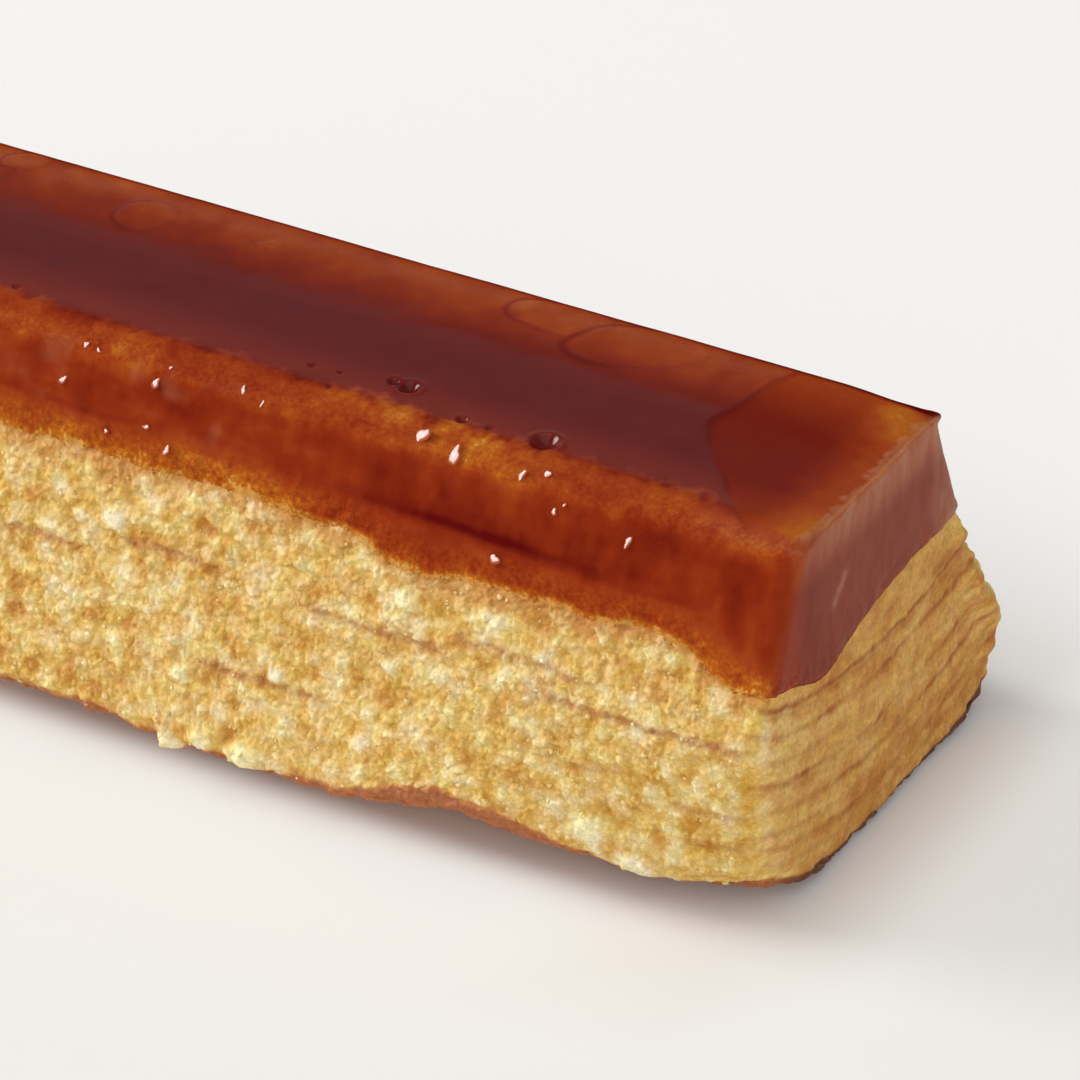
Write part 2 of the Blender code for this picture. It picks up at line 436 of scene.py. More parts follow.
    def crumb_relief(self, places: Array, torn: Array) -> Array:
        """Give how far the crumb stands out of the form.

        Torn crumb is the sum of slow swells and of grains of three sizes, pulled about by
        noise. Cut crumb is a faint, fine version of it. Broken edges are added to both.

        Args:
            places: points on the form.
            torn: 1 where the crumb is torn, near 0 where it is cut.

        Returns:
            Heights in millimetres.
        """
        shift = np.stack([Grain.soft(places, 0.8, 20 + k) for k in range(3)], axis=1)
        pulled = places * np.array([0.9, 1.0, 1.0]) + 0.22 * shift
        total = Grain.mixed(pulled, (0.18, 4.8, 1), (0.15, 1.9, 2)) - 0.28
        for size, rise, seed in self.grains:
            far, number = Grain.lumps(pulled, size, seed)
            total = total + rise * np.clip(1.15 - 1.3 * far, 0.0, 1.0) * (0.2 + number)
        cut = Grain.mixed(pulled, (0.12, 2.4, 7), (0.10, 0.8, 8))
        far, number = Grain.lumps(pulled, 0.5, 9)
        cut = cut + 0.12 * np.clip(1.0 - 1.3 * far, 0.0, 1.0) * number
        return torn * total + (1.0 - torn) * cut + self.crags(places)


@dataclass(frozen=True)
class Lump:
    """A lump or, with a negative rise, a hollow of the torn front, and how much paler it is, partly painted
    light and shade.
    """

    x: float
    z: float
    reach: float
    rise: float
    paler: float


@dataclass(frozen=True)
class Streak:
    """A browned line that shows on the torn front: height, run along the bar and strength."""

    z: float
    start: float
    stop: float
    strength: float


@dataclass(frozen=True)
class CrumbPattern:
    """What the crumb shows: browned lines between its layers, pale lumps, ochre hollows, partly painted
    light and shade.
    """

    form: BarForm
    lines: tuple[tuple[float, float], ...] = (
        (21.2, 0.35),
        (18.7, 1.25),
        (18.0, 0.7),
        (15.9, 1.2),
        (13.3, 0.45),
        (10.9, 1.15),
        (10.2, 0.55),
        (8.1, 1.0),
        (5.8, 0.6),
        (4.2, 0.8),
        (2.6, 0.5),
    )
    streaks: tuple[Streak, ...] = (
        Streak(20.9, -11.5, -1.5, 1.0),
        Streak(21.3, 22.0, 37.0, 0.8),
        Streak(19.1, -24.0, -15.5, 1.0),
        Streak(19.8, 7.5, 22.0, 1.0),
        Streak(19.0, 30.0, 51.0, 1.1),
        Streak(12.5, -2.5, 10.5, 1.0),
        Streak(13.6, 30.0, 41.0, 0.35),
        Streak(8.6, -20.0, -8.0, 0.3),
        Streak(12.2, 43.0, 53.0, 0.6),
        Streak(8.8, 44.0, 53.0, 0.5),
    )
    lumps: tuple[Lump, ...] = (
        Lump(-4.4, 4.9, 1.3, 0.8, 0.55),
        Lump(-1.1, 6.1, 1.0, 0.4, 0.25),
        Lump(3.6, 5.7, 1.9, 0.8, 0.35),
        Lump(-4.0, 10.9, 0.9, 0.3, 0.25),
        Lump(5.8, 13.4, 0.9, 0.4, 0.35),
        Lump(-12.5, 22.4, 1.2, 0.5, 0.35),
        Lump(36.9, 8.0, 1.6, 0.5, 0.40),
        Lump(17.5, 23.5, 1.3, 0.4, 0.35),
        Lump(41.0, 5.8, 1.6, 0.7, 0.35),
        Lump(1.5, 7.1, 0.9, -0.7, -0.30),
        Lump(-3.5, 24.0, 0.9, -0.6, -0.30),
        Lump(-2.4, 23.7, 0.5, -0.4, -0.30),
        Lump(-2.0, 20.5, 0.7, -0.5, -0.28),
        Lump(-21.5, 11.6, 1.1, -0.5, -0.20),
        Lump(30.5, 24.6, 0.9, -0.5, -0.35),
    )

    def lump_share(self, places: Array, torn: Array, rise: bool) -> Array:
        """Sum the lumps over the torn front.

        Each falls off as e to the minus cube of the distance over its reach, with heights
        counted 1.3 times.

        Args:
            places: points on the form.
            torn: 1 where the crumb is torn.
            rise: true for heights, false for paleness.

        Returns:
            The sum at each point.
        """
        along = places[:, :1] - [[lump.x for lump in self.lumps]]
        upright = places[:, 2:] - [[lump.z for lump in self.lumps]]
        reach = np.array([lump.reach for lump in self.lumps])
        size = np.array([lump.rise if rise else lump.paler for lump in self.lumps])
        share = np.exp(-((along**2 + (1.3 * upright) ** 2) / reach**2) ** 1.5)
        return (share @ size) * torn * (places[:, 1] < 0.0)

    def tone(self, places: Array, torn: Array) -> Array:
        """Give how much paler or darker than usual each place is.

        Named lumps and hollows are joined by patches drawn out along the layers. On the cut
        ends the layers differ, and the far side is darker.

        Args:
            places: points on the form.
            torn: 1 where the crumb is torn.

        Returns:
            Shares of the whole run from ochre to cream.
        """
        level = self.form.layer(places)
        flat = np.column_stack((places[:, 0] * 0.45, places[:, 1] * 0.3, level))
        drawn = Grain.mixed(flat, (0.12, 0.9, 71), (0.12, 2.1, 72))
        ends = 0.14 * bell(level, 13.6, 1.9) - 0.08 * smooth(-16.0, 12.0, places[:, 1])
        ends = ends + 0.16 * smooth(-9.0, -17.0, places[:, 1]) - 0.06 * smooth(9.0, 4.0, places[:, 2])
        patch = Grain.mixed(places, (0.10, 1.5, 73), (0.03, 3.0, 74))
        cut = (1.0 - torn) * (ends + 1.2 * drawn)
        # The lumps' paleness is partly painted light on lumps and painted shade in hollows.
        return self.lump_share(places, torn, False) + torn * (patch + 0.4 * drawn) + cut

    def browning(self, places: Array, torn: Array) -> Array:
        """Give how strongly each place is browned, from 0 to 1.

        A line is a bell over the height in the layers, which wavers, and it is broken by
        noise. The cut ends show every line, the torn sides only some of them.

        Args:
            places: points on the form.
            torn: 1 where the crumb is torn.

        Returns:
            The share of the browned colour.
        """
        x, y, z = places.T
        waver = Grain.mixed(places, (0.26, 7.0, 81), (0.12, 2.0, 82), (0.05, 0.7, 83))
        level = self.form.layer(places) + waver
        cut = np.zeros_like(x)
        for line, strength in self.lines:
            flat = np.column_stack((x, y, np.full_like(x, 3.0 * line)))
            kept = 0.5 + 0.5 * smooth(-0.5, 0.2, Grain.soft(flat, 4.0, 84))
            cut = np.maximum(cut, 1.05 * strength * kept * bell(level, line, 0.40))
        cut = np.maximum(cut, 0.8 * bell(y, 13.0, 2.2) * bell(z, 20.3, 0.8))
        across = np.zeros_like(x)
        for streak in self.streaks:
            opens = (streak.start - 1.0, streak.start + 1.5)
            closes = (streak.stop + 1.0, streak.stop - 1.5)
            shown = 0.95 * streak.strength * window(x, opens, closes)
            across = np.maximum(across, shown * bell(z + waver, streak.z, 0.42))
        behind = cut * 0.5 * smooth(0.0, 0.6, Grain.soft(places, 6.0, 85))
        fine = 0.75 + 0.35 * Grain.soft(places, 0.6, 86)
        return (cut + (np.where(y < 0.0, across, behind) - cut) * torn) * fine

    def skin_share(self, places: Array, torn: Array) -> Array:
        """Give how far each place belongs to the browned skin at the foot, from 0 to 1.

        It is a run down the height above the skin, which ends at a ragged band. The band is
        higher where the front's foot is raised, and paler lumps stand clear of it.

        Args:
            places: points on the form.
            torn: 1 where the crumb is torn.

        Returns:
            The share of the skin's colour.
        """
        high = places[:, 2] - self.form.underside(places[:, 1])
        band = 1.0 + torn * (1.9 * bell(places[:, 0], 24.0, 8.0) * (places[:, 1] < 0.0) - 0.1)
        ragged = Grain.mixed(places, (0.65, 3.2, 91), (0.35, 0.8, 92))
        high = high + 2.2 * self.lump_share(places, torn, False)
        return smooth(0.8, -0.6, high - band + ragged * (0.45 + 0.55 * torn))


def set_mesh(name: str, places: Array, quads: Array, triangles: Array) -> bpy.types.Mesh:
    """Fill a mesh from whole arrays.

    Args:
        name: the mesh's name.
        places: vertices in millimetres, one row each.
        quads: corners of the four-sided faces, one row each.
        triangles: corners of the three-sided faces, one row each.

    Returns:
        The mesh in metres, smooth shaded.
    """
    mesh = bpy.data.meshes.new(name)
    mesh.vertices.add(len(places))
    mesh.vertices.foreach_set("co", (places * MM).astype(np.float32).ravel())
    corners = np.concatenate((quads.ravel(), triangles.ravel())).astype(np.int32)
    mesh.loops.add(len(corners))
    mesh.loops.foreach_set("vertex_index", corners)
    after = 4 * len(quads)
    starts = np.concatenate((4 * np.arange(len(quads)), after + 3 * np.arange(len(triangles))))
    mesh.polygons.add(len(starts))
    mesh.polygons.foreach_set("loop_start", starts.astype(np.int32))
    mesh.polygons.foreach_set("use_smooth", np.ones(len(starts), dtype=bool))
    mesh.update(calc_edges=True)
    mesh.validate()
    return mesh


def set_marks(mesh: bpy.types.Mesh, marks: dict[str, Array | float]) -> None:
    """Keep numbers in the mesh for its finish to read.

    Args:
        mesh: the mesh.
        marks: by name, one number or an array for the first vertices, whose last value the
            other vertices take.
    """
    for name, values in marks.items():
        known = np.atleast_1d(values)
        padded = np.full(len(mesh.vertices), known[-1], dtype=np.float32)
        padded[: len(known)] = known
        mesh.attributes.new(name, "FLOAT", "POINT").data.foreach_set("value", padded)


def add_piece(
    mesh: bpy.types.Mesh, material: bpy.types.Material, node: str = ""
) -> bpy.types.Object:
    """Put a mesh into the scene as a piece of the bar.

    Args:
        mesh: the piece's mesh, whose name it takes.
        material: its finish.
        node: the solid node that the piece stands for, or nothing.

    Returns:
        The new object, riding on the bar's body.
    """
    piece = bpy.data.objects.new(mesh.name, mesh)
    bpy.context.scene.collection.objects.link(piece)
    mesh.materials.append(material)
    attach(piece, BODY)
    if node:
        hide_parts(node)
    log.info("%s: %d vertices, %d faces", piece.name, len(mesh.vertices), len(mesh.polygons))
    return piece


def grid_faces(rows: int, columns: int) -> Array:
    """List the quads of a grid numbered row by row, with columns running to the right."""
    corner = np.arange(rows * columns).reshape(rows, columns)
    around = (corner[:-1, :-1], corner[:-1, 1:], corner[1:, 1:], corner[1:, :-1])
    return np.stack(around, axis=-1).reshape(-1, 4)


def belt_faces(rows: int, count: int) -> Array:
    """List the quads of a belt numbered row by row from below, whose rows close round.

    Args:
        rows: number of rows.
        count: number of points round a row.

    Returns:
        The corners of each quad, one row each.
    """
    corner = np.arange(rows * count).reshape(rows, count)
    after = np.roll(corner, -1, axis=1)
    return np.stack((corner[:-1], after[:-1], after[1:], corner[1:]), axis=-1).reshape(-1, 4)


def belt_fans(rows: int, count: int, low: int, high: int) -> Array:
    """List the triangles that close a belt: its first row to one point, its last to another.

    Args:
        rows: number of rows.
        count: number of points round a row.
        low: number of the point under the first row.
        high: number of the point over the last row.

    Returns:
        The corners of each triangle, one row each.
    """
    here = np.arange(count)
    after = np.roll(here, -1)
    last = (rows - 1) * count
    below = np.column_stack((after, here, np.full(count, low)))
    above = np.column_stack((last + here, last + after, np.full(count, high)))
    return np.vstack((below, above))


def grid_border(rows: int, columns: int) -> Array:
    """List a grid's border once round, in the same turn as its faces."""
    corner = np.arange(rows * columns).reshape(rows, columns)
    return np.concatenate((corner[0, :-1], corner[:-1, -1], corner[-1, :0:-1], corner[:0:-1, 0]))


def close_slab(places: Array, rows: int, columns: int, inward: Array) -> tuple[Array, Array, Array]:
    """Close a grid into a thin solid: its border goes inwards and meets at one point.

    Args:
        places: the grid's points, row by row.
        rows: number of rows.
        columns: number of columns.
        inward: how far each border point goes inwards, one row each.

    Returns:
        All points, the quads and the triangles of the closed slab.
    """
    border = grid_border(rows, columns)
    ring = places[border] + inward
    centre = ring.mean(axis=0, keepdims=True)
    first = len(places)
    here = first + np.arange(len(border))
    after = np.roll(here, -1)
    walls = np.column_stack((border, here, after, np.roll(border, -1)))
    fan = np.column_stack((after, here, np.full(len(border), first + len(border))))
    return np.vstack((places, ring, centre)), np.vstack((grid_faces(rows, columns), walls)), fan


class Wiring:
    """Builds the nodes of one material or node group, in plain calls."""

    def __init__(self, tree: bpy.types.NodeTree) -> None:
        """Work in the given tree."""
        self.tree = tree

    def node(self, kind: str, **settings: object) -> bpy.types.Node:
        """Add a node and set its own properties.

        Args:
            kind: the node's type.
            settings: its properties by name.

        Returns:
            The new node.
        """
        made = self.tree.nodes.new(kind)
        for name, value in settings.items():
            setattr(made, name, value)
        return made

    def feed(self, socket: Socket, source: object) -> None:
        """Link a socket to another node's output, or set its value.

        Args:
            socket: the input.
            source: an output, a number, a vector or a colour of three parts.
        """
        if isinstance(source, Socket):
            self.tree.links.new(source, socket)
        elif isinstance(source, tuple) and len(source) == 3 and socket.type == "RGBA":
            socket.default_value = (*source, 1.0)
        else:
            socket.default_value = source

    def fill(self, node: bpy.types.Node, sources: dict[str | int, object]) -> None:
        """Feed several of a node's inputs, each by its name or number."""
        for label, source in sources.items():
            self.feed(node.inputs[label], source)

    def math(self, operation: str, *sources: object) -> Socket:
        """Work out one operation on numbers."""
        made = self.node("ShaderNodeMath", operation=operation)
        self.fill(made, dict(enumerate(sources)))
        return made.outputs[0]

    def plus(self, one: object, two: object) -> Socket:
        """Add two numbers."""
        return self.math("ADD", one, two)

    def minus(self, one: object, two: object) -> Socket:
        """Take the second number from the first."""
        return self.math("SUBTRACT", one, two)

    def times(self, one: object, two: object) -> Socket:
        """Multiply two numbers."""
        return self.math("MULTIPLY", one, two)

    def times_plus(self, one: object, two: object, more: object) -> Socket:
        """Multiply two numbers and add a third."""
        return self.math("MULTIPLY_ADD", one, two, more)

    def span(
        self, value: object, low: float, high: float, to_low: float = 0.0, to_high: float = 1.0
    ) -> Socket:
        """Turn a value's run from low to high into a smooth run between two others."""
        made = self.node("ShaderNodeMapRange", interpolation_type="SMOOTHSTEP", clamp=True)
        self.fill(made, dict(enumerate((value, low, high, to_low, to_high))))
        return made.outputs[0]

    def mix(self, share: object, first: object, second: object, blend: str = "MIX") -> Socket:
        """Blend two colours by a share."""
        made = self.node("ShaderNodeMix", data_type="RGBA", blend_type=blend)
        self.fill(made, {"Factor": share, "A": first, "B": second})
        return made.outputs["Result"]

    def place(self, scale: Spot = (1.0, 1.0, 1.0)) -> Socket:
        """Give the object's coordinates in millimetres.

        Args:
            scale: how much finer a pattern gets along each axis.

        Returns:
            The coordinates.
        """
        where = self.node("ShaderNodeTexCoord").outputs["Object"]
        made = self.node("ShaderNodeMapping")
        self.fill(made, {"Vector": where, "Scale": tuple(part / MM for part in scale)})
        return made.outputs["Vector"]

    def axes(self, kind: str) -> tuple[Socket, ...]:
        """Give the three parts of the texture coordinate of the given kind."""
        made = self.node("ShaderNodeSeparateXYZ")
        self.feed(made.inputs[0], self.node("ShaderNodeTexCoord").outputs[kind])
        return tuple(made.outputs)

    def noise(self, place: object, size: float, detail: float = 2.0, rough: float = 0.5) -> Socket:
        """Give soft noise from 0 to 1.

        Args:
            place: the coordinates that it reads.
            size: how far apart its swells are, in millimetres.
            detail: how many finer layers it has.
            rough: how strong each finer layer is.

        Returns:
            The noise.
        """
        made = self.node("ShaderNodeTexNoise")
        self.fill(made, {"Vector": place, "Scale": 1.0 / size, "Detail": detail, "Roughness": rough})
        return made.outputs["Fac"]

    def grains(self, place: object, size: float) -> tuple[Socket, Socket]:
        """Split space into grains.

        Args:
            place: the coordinates that they follow.
            size: the grains' size in millimetres.

        Returns:
            The distance from each grain's middle, and each grain's own number.
        """
        made = self.node("ShaderNodeTexVoronoi")
        self.fill(made, {"Vector": place, "Scale": 1.0 / size})
        throw = self.node("ShaderNodeSeparateColor")
        self.feed(throw.inputs[0], made.outputs["Color"])
        return made.outputs["Distance"], throw.outputs["Red"]

    def ramp(self, value: object, stops: tuple[tuple[float, Colour], ...]) -> Socket:
        """Turn a value into a colour.

        Args:
            value: the number.
            stops: positions from 0 to 1, each with its colour.

        Returns:
            The colour.
        """
        made = self.node("ShaderNodeValToRGB")
        band = made.color_ramp
        while len(band.elements) < len(stops):
            band.elements.new(0.5)
        for element, (position, colour) in zip(band.elements, stops):
            element.position = position
            element.color = (*colour, 1.0)
        self.feed(made.inputs[0], value)
        return made.outputs["Color"]

    def bump(self, strength: object, depth: float, height: object) -> Socket:
        """Turn a height into a bent normal, with the depth in millimetres."""
        made = self.node("ShaderNodeBump")
        self.fill(made, {"Strength": strength, "Distance": depth * MM, "Height": height})
        return made.outputs["Normal"]

    def attribute(self, name: str) -> Socket:
        """Give a number kept in the mesh."""
        return self.node("ShaderNodeAttribute", attribute_name=name).outputs["Fac"]

    def crumb(self, size: float) -> dict[str, Socket]:
        """Place the group for open crumb, its grains larger by the size, and give its outputs."""
        made = self.node("ShaderNodeGroup", node_tree=bpy.data.node_groups[CRUMB_GROUP])
        self.feed(made.inputs["Size"], size)
        return dict(made.outputs.items())


def new_material(name: str) -> tuple[bpy.types.Material, Wiring, bpy.types.Node]:
    """Start a material and give it with its wiring and its Principled BSDF."""
    material = bpy.data.materials.new(name)
    material.use_nodes = True
    return material, Wiring(material.node_tree), material.node_tree.nodes["Principled BSDF"]


def new_group(
    name: str, inputs: dict[str, float], outputs: tuple[str, ...]
) -> tuple[Wiring, bpy.types.Node, bpy.types.Node]:
    """Start a node group whose sockets are all numbers.

    Args:
        name: the group's name.
        inputs: each input's name and value.
        outputs: the outputs' names.

    Returns:
        Its wiring, its input node and its output node.
    """
    tree = bpy.data.node_groups.new(name, "ShaderNodeTree")
    for label, value in inputs.items():
        socket = tree.interface.new_socket(label, in_out="INPUT", socket_type="NodeSocketFloat")
        socket.default_value = value
    for label in outputs:
        tree.interface.new_socket(label, in_out="OUTPUT", socket_type="NodeSocketFloat")
    wiring = Wiring(tree)
    return wiring, wiring.node("NodeGroupInput"), wiring.node("NodeGroupOutput")


def build_crumb_group() -> None:
    """Build the group for open crumb: a height for bump, a paleness, painted shading and tiny holes.

    Space is split into grains of two sizes, after a pull by fine noise. Slow noise makes pale
    patches. Each grain gets a brightness of its own and the gaps are darker: painted shading.
    """
    wiring, given, result = new_group(CRUMB_GROUP, {"Size": 1.0}, ("Height", "Pale", "Light", "Holes"))
    sized = wiring.node("ShaderNodeVectorMath", operation="SCALE")
    wiring.fill(sized, {0: wiring.place(), "Scale": wiring.math("DIVIDE", 1.0, given.outputs["Size"])})
    wander = wiring.node("ShaderNodeTexNoise")
    wiring.fill(wander, {"Vector": sized.outputs[0], "Scale": 2.2})
    pull = wiring.node("ShaderNodeVectorMath", operation="MULTIPLY_ADD")
    wiring.fill(pull, {0: wander.outputs["Color"], 1: (0.7, 0.7, 0.7), 2: sized.outputs[0]})
    where = pull.outputs[0]
    grain, grain_throw = wiring.grains(where, 0.46)
    crumb, crumb_throw = wiring.grains(where, 0.25)
    patch = wiring.minus(wiring.noise(where, 1.9, 1.0, 0.45), 0.5)
    height = wiring.times_plus(grain, -0.6, wiring.times(crumb, -0.35))
    thrown = wiring.times_plus(grain_throw, 0.12, wiring.times(crumb_throw, 0.06))
    pale = wiring.times_plus(patch, 1.5, wiring.times(grain_throw, 0.03))
    pale = wiring.times_plus(grain, -0.05, wiring.plus(pale, 0.50))
    # Painted shading of the grains: a brightness each, darker towards the gaps.
    light = wiring.times_plus(grain, -0.17, wiring.plus(thrown, 0.975))
    light = wiring.times_plus(crumb, -0.07, light)
    holes = wiring.times(wiring.span(crumb_throw, 0.12, 0.06), wiring.span(crumb, 0.5, 0.3))
    wiring.fill(result, {"Height": height, "Pale": pale, "Light": light, "Holes": holes})


@dataclass(frozen=True)
class SpongeFinish:
    """Finish of the cake: pale grains in golden crumb, ochre hollows, browned lines and soak, partly
    painted light and shade.
    """

    name: str = "Sponge"
    torn_stops: tuple[tuple[float, Colour], ...] = (
        (0.04, (0.58, 0.265, 0.036)),
        (0.26, (0.68, 0.395, 0.080)),
        (0.50, (0.76, 0.51, 0.165)),
        (0.74, (0.83, 0.645, 0.31)),
        (1.00, (0.90, 0.79, 0.52)),
    )
    # The cut ends' colours run darker than the torn crumb's: partly the cut crumb's own colour, partly
    # painted shade.
    cut_and_shaded_stops: tuple[tuple[float, Colour], ...] = (
        (0.05, (0.43, 0.140, 0.021)),
        (0.30, (0.56, 0.238, 0.046)),
        (0.58, (0.67, 0.360, 0.092)),
        (1.00, (0.80, 0.55, 0.19)),
    )
    browned: Colour = (0.41, 0.135, 0.037)
    browned_cut: Colour = (0.38, 0.110, 0.018)
    golden: Colour = (0.98, 0.89, 0.55)
    lemon: Colour = (1.0, 1.02, 0.85)
    rosy: Colour = (1.0, 0.985, 1.05)
    amber: Colour = (0.57, 0.25, 0.040)
    soaked: Colour = (0.46, 0.145, 0.020)
    skin: Colour = (0.63, 0.26, 0.066)
    deep_skin: Colour = (0.42, 0.135, 0.044)
    dark_skin: Colour = (0.15, 0.046, 0.020)
    roughness: float = 0.8
    bump: float = 0.4
    bump_depth: float = 0.12
    crumb_size: float = 1.0
    paler: float = 0.0

    def build(self) -> bpy.types.Material:
        """Build the material from the crumb group and the mesh's own masks."""
        material, wiring, surface = new_material(self.name)
        crumb = wiring.crumb(self.crumb_size)
        torn, along = wiring.attribute("torn"), wiring.attribute("long")
        # Painted light and shade: paler where the crumb's relief stands out, darker ochre where it falls
        # in.
        high = wiring.times_plus(wiring.span(wiring.attribute("relief"), -0.35, 0.45), 0.36, -0.18)
        strength = wiring.span(torn, 0.1, 0.9, 0.45, 1.0)
        value = wiring.times(wiring.minus(crumb["Pale"], 0.5), strength)
        value = wiring.plus(wiring.times_plus(high, torn, value), 0.52 + self.paler)
        value = wiring.plus(value, wiring.attribute("tone"))
        colour = wiring.mix(along, wiring.ramp(value, self.cut_and_shaded_stops), wiring.ramp(value, self.torn_stops))
        hue = wiring.span(wiring.noise(wiring.place(), 2.4, 2.0), 0.35, 0.65)
        colour = wiring.mix(1.0, colour, wiring.mix(hue, self.lemon, self.rosy), "MULTIPLY")
        turning = wiring.times(wiring.span(torn, 0.02, 0.3), wiring.span(torn, 1.0, 0.7))
        colour = wiring.mix(wiring.times(turning, along), colour, self.golden, "MULTIPLY")
        # Painted shade: the tiny holes are darkened with the browned colour.
        colour = wiring.mix(wiring.times(crumb["Holes"], 0.2), colour, self.browned)
        line = wiring.times(wiring.attribute("line"), wiring.span(crumb["Pale"], 0.1, 0.9, 1.0, 0.7))
        colour = wiring.mix(line, colour, wiring.mix(along, self.browned_cut, self.browned))
        wet = wiring.minus(wiring.noise(wiring.place(), 1.3, 4.0, 0.65), 0.5)
        colour = self.soak(wiring, colour, value, wet, along)
        under = wiring.times_plus(wet, 0.9, wiring.attribute("skin"))
        skin = wiring.mix(wiring.span(under, 0.45, 1.0), self.skin, self.deep_skin)
        skin = wiring.mix(along, self.dark_skin, skin)
        colour = wiring.mix(wiring.span(under, 0.12, 0.62), colour, skin)
        # Painted shading of the grains multiplies the colour.
        light = wiring.mix(wiring.span(crumb["Light"], 0.5, 1.5), (0.5, 0.5, 0.5), (1.5, 1.5, 1.5))
        wiring.fill(surface, {
            "Base Color": wiring.mix(1.0, colour, light, "MULTIPLY"),
            "Roughness": self.roughness,
            "Normal": wiring.bump(self.bump, self.bump_depth, crumb["Height"]),
            "Specular IOR Level": 0.3,
            "Subsurface Weight": 0.3,
            "Subsurface Radius": (1.0, 0.6, 0.2),
            "Subsurface Scale": 0.5 * MM,
        })
        return material

    def soak(self, wiring: Wiring, colour: Socket, value: Socket, wet: Socket, along: Socket) -> Socket:
        """Lay the caramel's soak over the crumb: amber some way under the rim, brown next to it.

        The height under the rim is pulled about by noise, and pale grains soak less.

        Args:
            wiring: the material's wiring.
            colour: the crumb's colour.
            value: its paleness.
            wet: soft noise round 0.
            along: 1 on the long sides.

        Returns:
            The colour with the soak.
        """
        edge = wiring.times_plus(wet, 3.2, wiring.attribute("rim"))
        edge = wiring.times_plus(value, -1.6, wiring.plus(edge, 0.8))
        reach = wiring.span(along, 0.3, 0.9)
        colour = wiring.mix(wiring.times(wiring.span(edge, -2.2, 0.1), reach), colour, self.amber)
        return wiring.mix(wiring.times(wiring.span(edge, -0.3, 0.8), reach), colour, self.soaked)


@dataclass(frozen=True)
class SkinFinish:
    """Finish of the browned skin under the bar: mottled orange-brown, darker in its creases."""

    name: str = "Browned skin"
    light: Colour = (0.50, 0.165, 0.034)
    dark: Colour = (0.11, 0.032, 0.012)
    roughness: float = 0.6

    def build(self) -> bpy.types.Material:
        """Build the material: two sizes of mottling, with the crumb group as its grain."""
        material, wiring, surface = new_material(self.name)
        crumb = wiring.crumb(1.6)
        mottle = wiring.plus(wiring.noise(wiring.place(), 5.0, 3.0, 0.6), wiring.attribute("browning"))
        share = wiring.times_plus(crumb["Pale"], -0.5, mottle)
        wiring.fill(surface, {
            "Base Color": wiring.mix(wiring.span(share, 0.0, 0.75), self.light, self.dark),
            "Roughness": wiring.span(mottle, 0.2, 1.0, self.roughness, 0.45),
            "Normal": wiring.bump(0.6, 0.2, crumb["Height"]),
        })
        return material


@dataclass(frozen=True)
class CaramelFinish:
    """Finish of the set caramel: maroon where it is thick, amber where it thins out."""

    name: str = "Caramel"
    stops: tuple[tuple[float, Colour], ...] = (
        (0.0, (0.107, 0.0032, 0.003)),
        (0.25, (0.17, 0.012, 0.004)),
        (0.5, (0.255, 0.027, 0.0055)),
        (0.7, (0.34, 0.055, 0.009)),
        (0.84, (0.42, 0.105, 0.010)),
        (0.94, (0.51, 0.175, 0.020)),
        (1.0, (0.61, 0.30, 0.070)),
    )
    # Colour of the painted sheen: pale reflections and glints painted into the caramel.
    haze: Colour = (0.42, 0.19, 0.10)
    coat_roughness: float = 0.09
    coat_ior: float = 1.45
    bump: float = 0.35

    def build(self) -> bpy.types.Material:
        """Build the material: a ramp over thinness, clouded by noise and a painted sheen, under a clear
        gloss.
        """
        material, wiring, surface = new_material(self.name)
        thin, torn, grain = (wiring.attribute(name) for name in ("thin", "torn", "grain"))
        crumb = wiring.crumb(1.0)
        cloud = wiring.minus(wiring.noise(wiring.place((0.5, 1.0, 1.0)), 2.6, 2.0, 0.5), 0.5)
        seen = wiring.minus(crumb["Pale"], 0.5)
        fine = wiring.minus(wiring.noise(wiring.place(), 0.45, 2.0, 0.7), 0.5)
        value = wiring.times_plus(cloud, wiring.span(torn, 0.0, 1.0, 0.10, 0.45), thin)
        value = wiring.times_plus(seen, wiring.times(grain, 0.35), value)
        value = wiring.times_plus(fine, wiring.times_plus(grain, 0.9, 0.06), value)
        upright = wiring.noise(wiring.place((1.0, 1.0, 0.35)), 1.2, 3.0, 0.6)
        # Painted sheen: pale streaks of painted reflection mixed into the colour.
        haze = wiring.times(wiring.span(upright, 0.30, 0.70, 0.5, 1.0), wiring.attribute("haze"))
        grainy = wiring.times(wiring.span(thin, 0.55, 0.85), torn)
        wiring.fill(surface, {
            "Base Color": wiring.mix(haze, wiring.ramp(value, self.stops), self.haze),
            "Roughness": 0.6,
            "Normal": wiring.bump(wiring.times(grainy, self.bump), 0.15, crumb["Height"]),
            "Specular IOR Level": 0.0,
            "Coat Weight": wiring.attribute("gloss"),
            "Coat Roughness": self.coat_roughness,
            "Coat IOR": self.coat_ior,
            "Subsurface Weight": 0.15,
            "Subsurface Radius": (1.0, 0.2, 0.05),
            "Subsurface Scale": 0.8 * MM,
        })
        return material


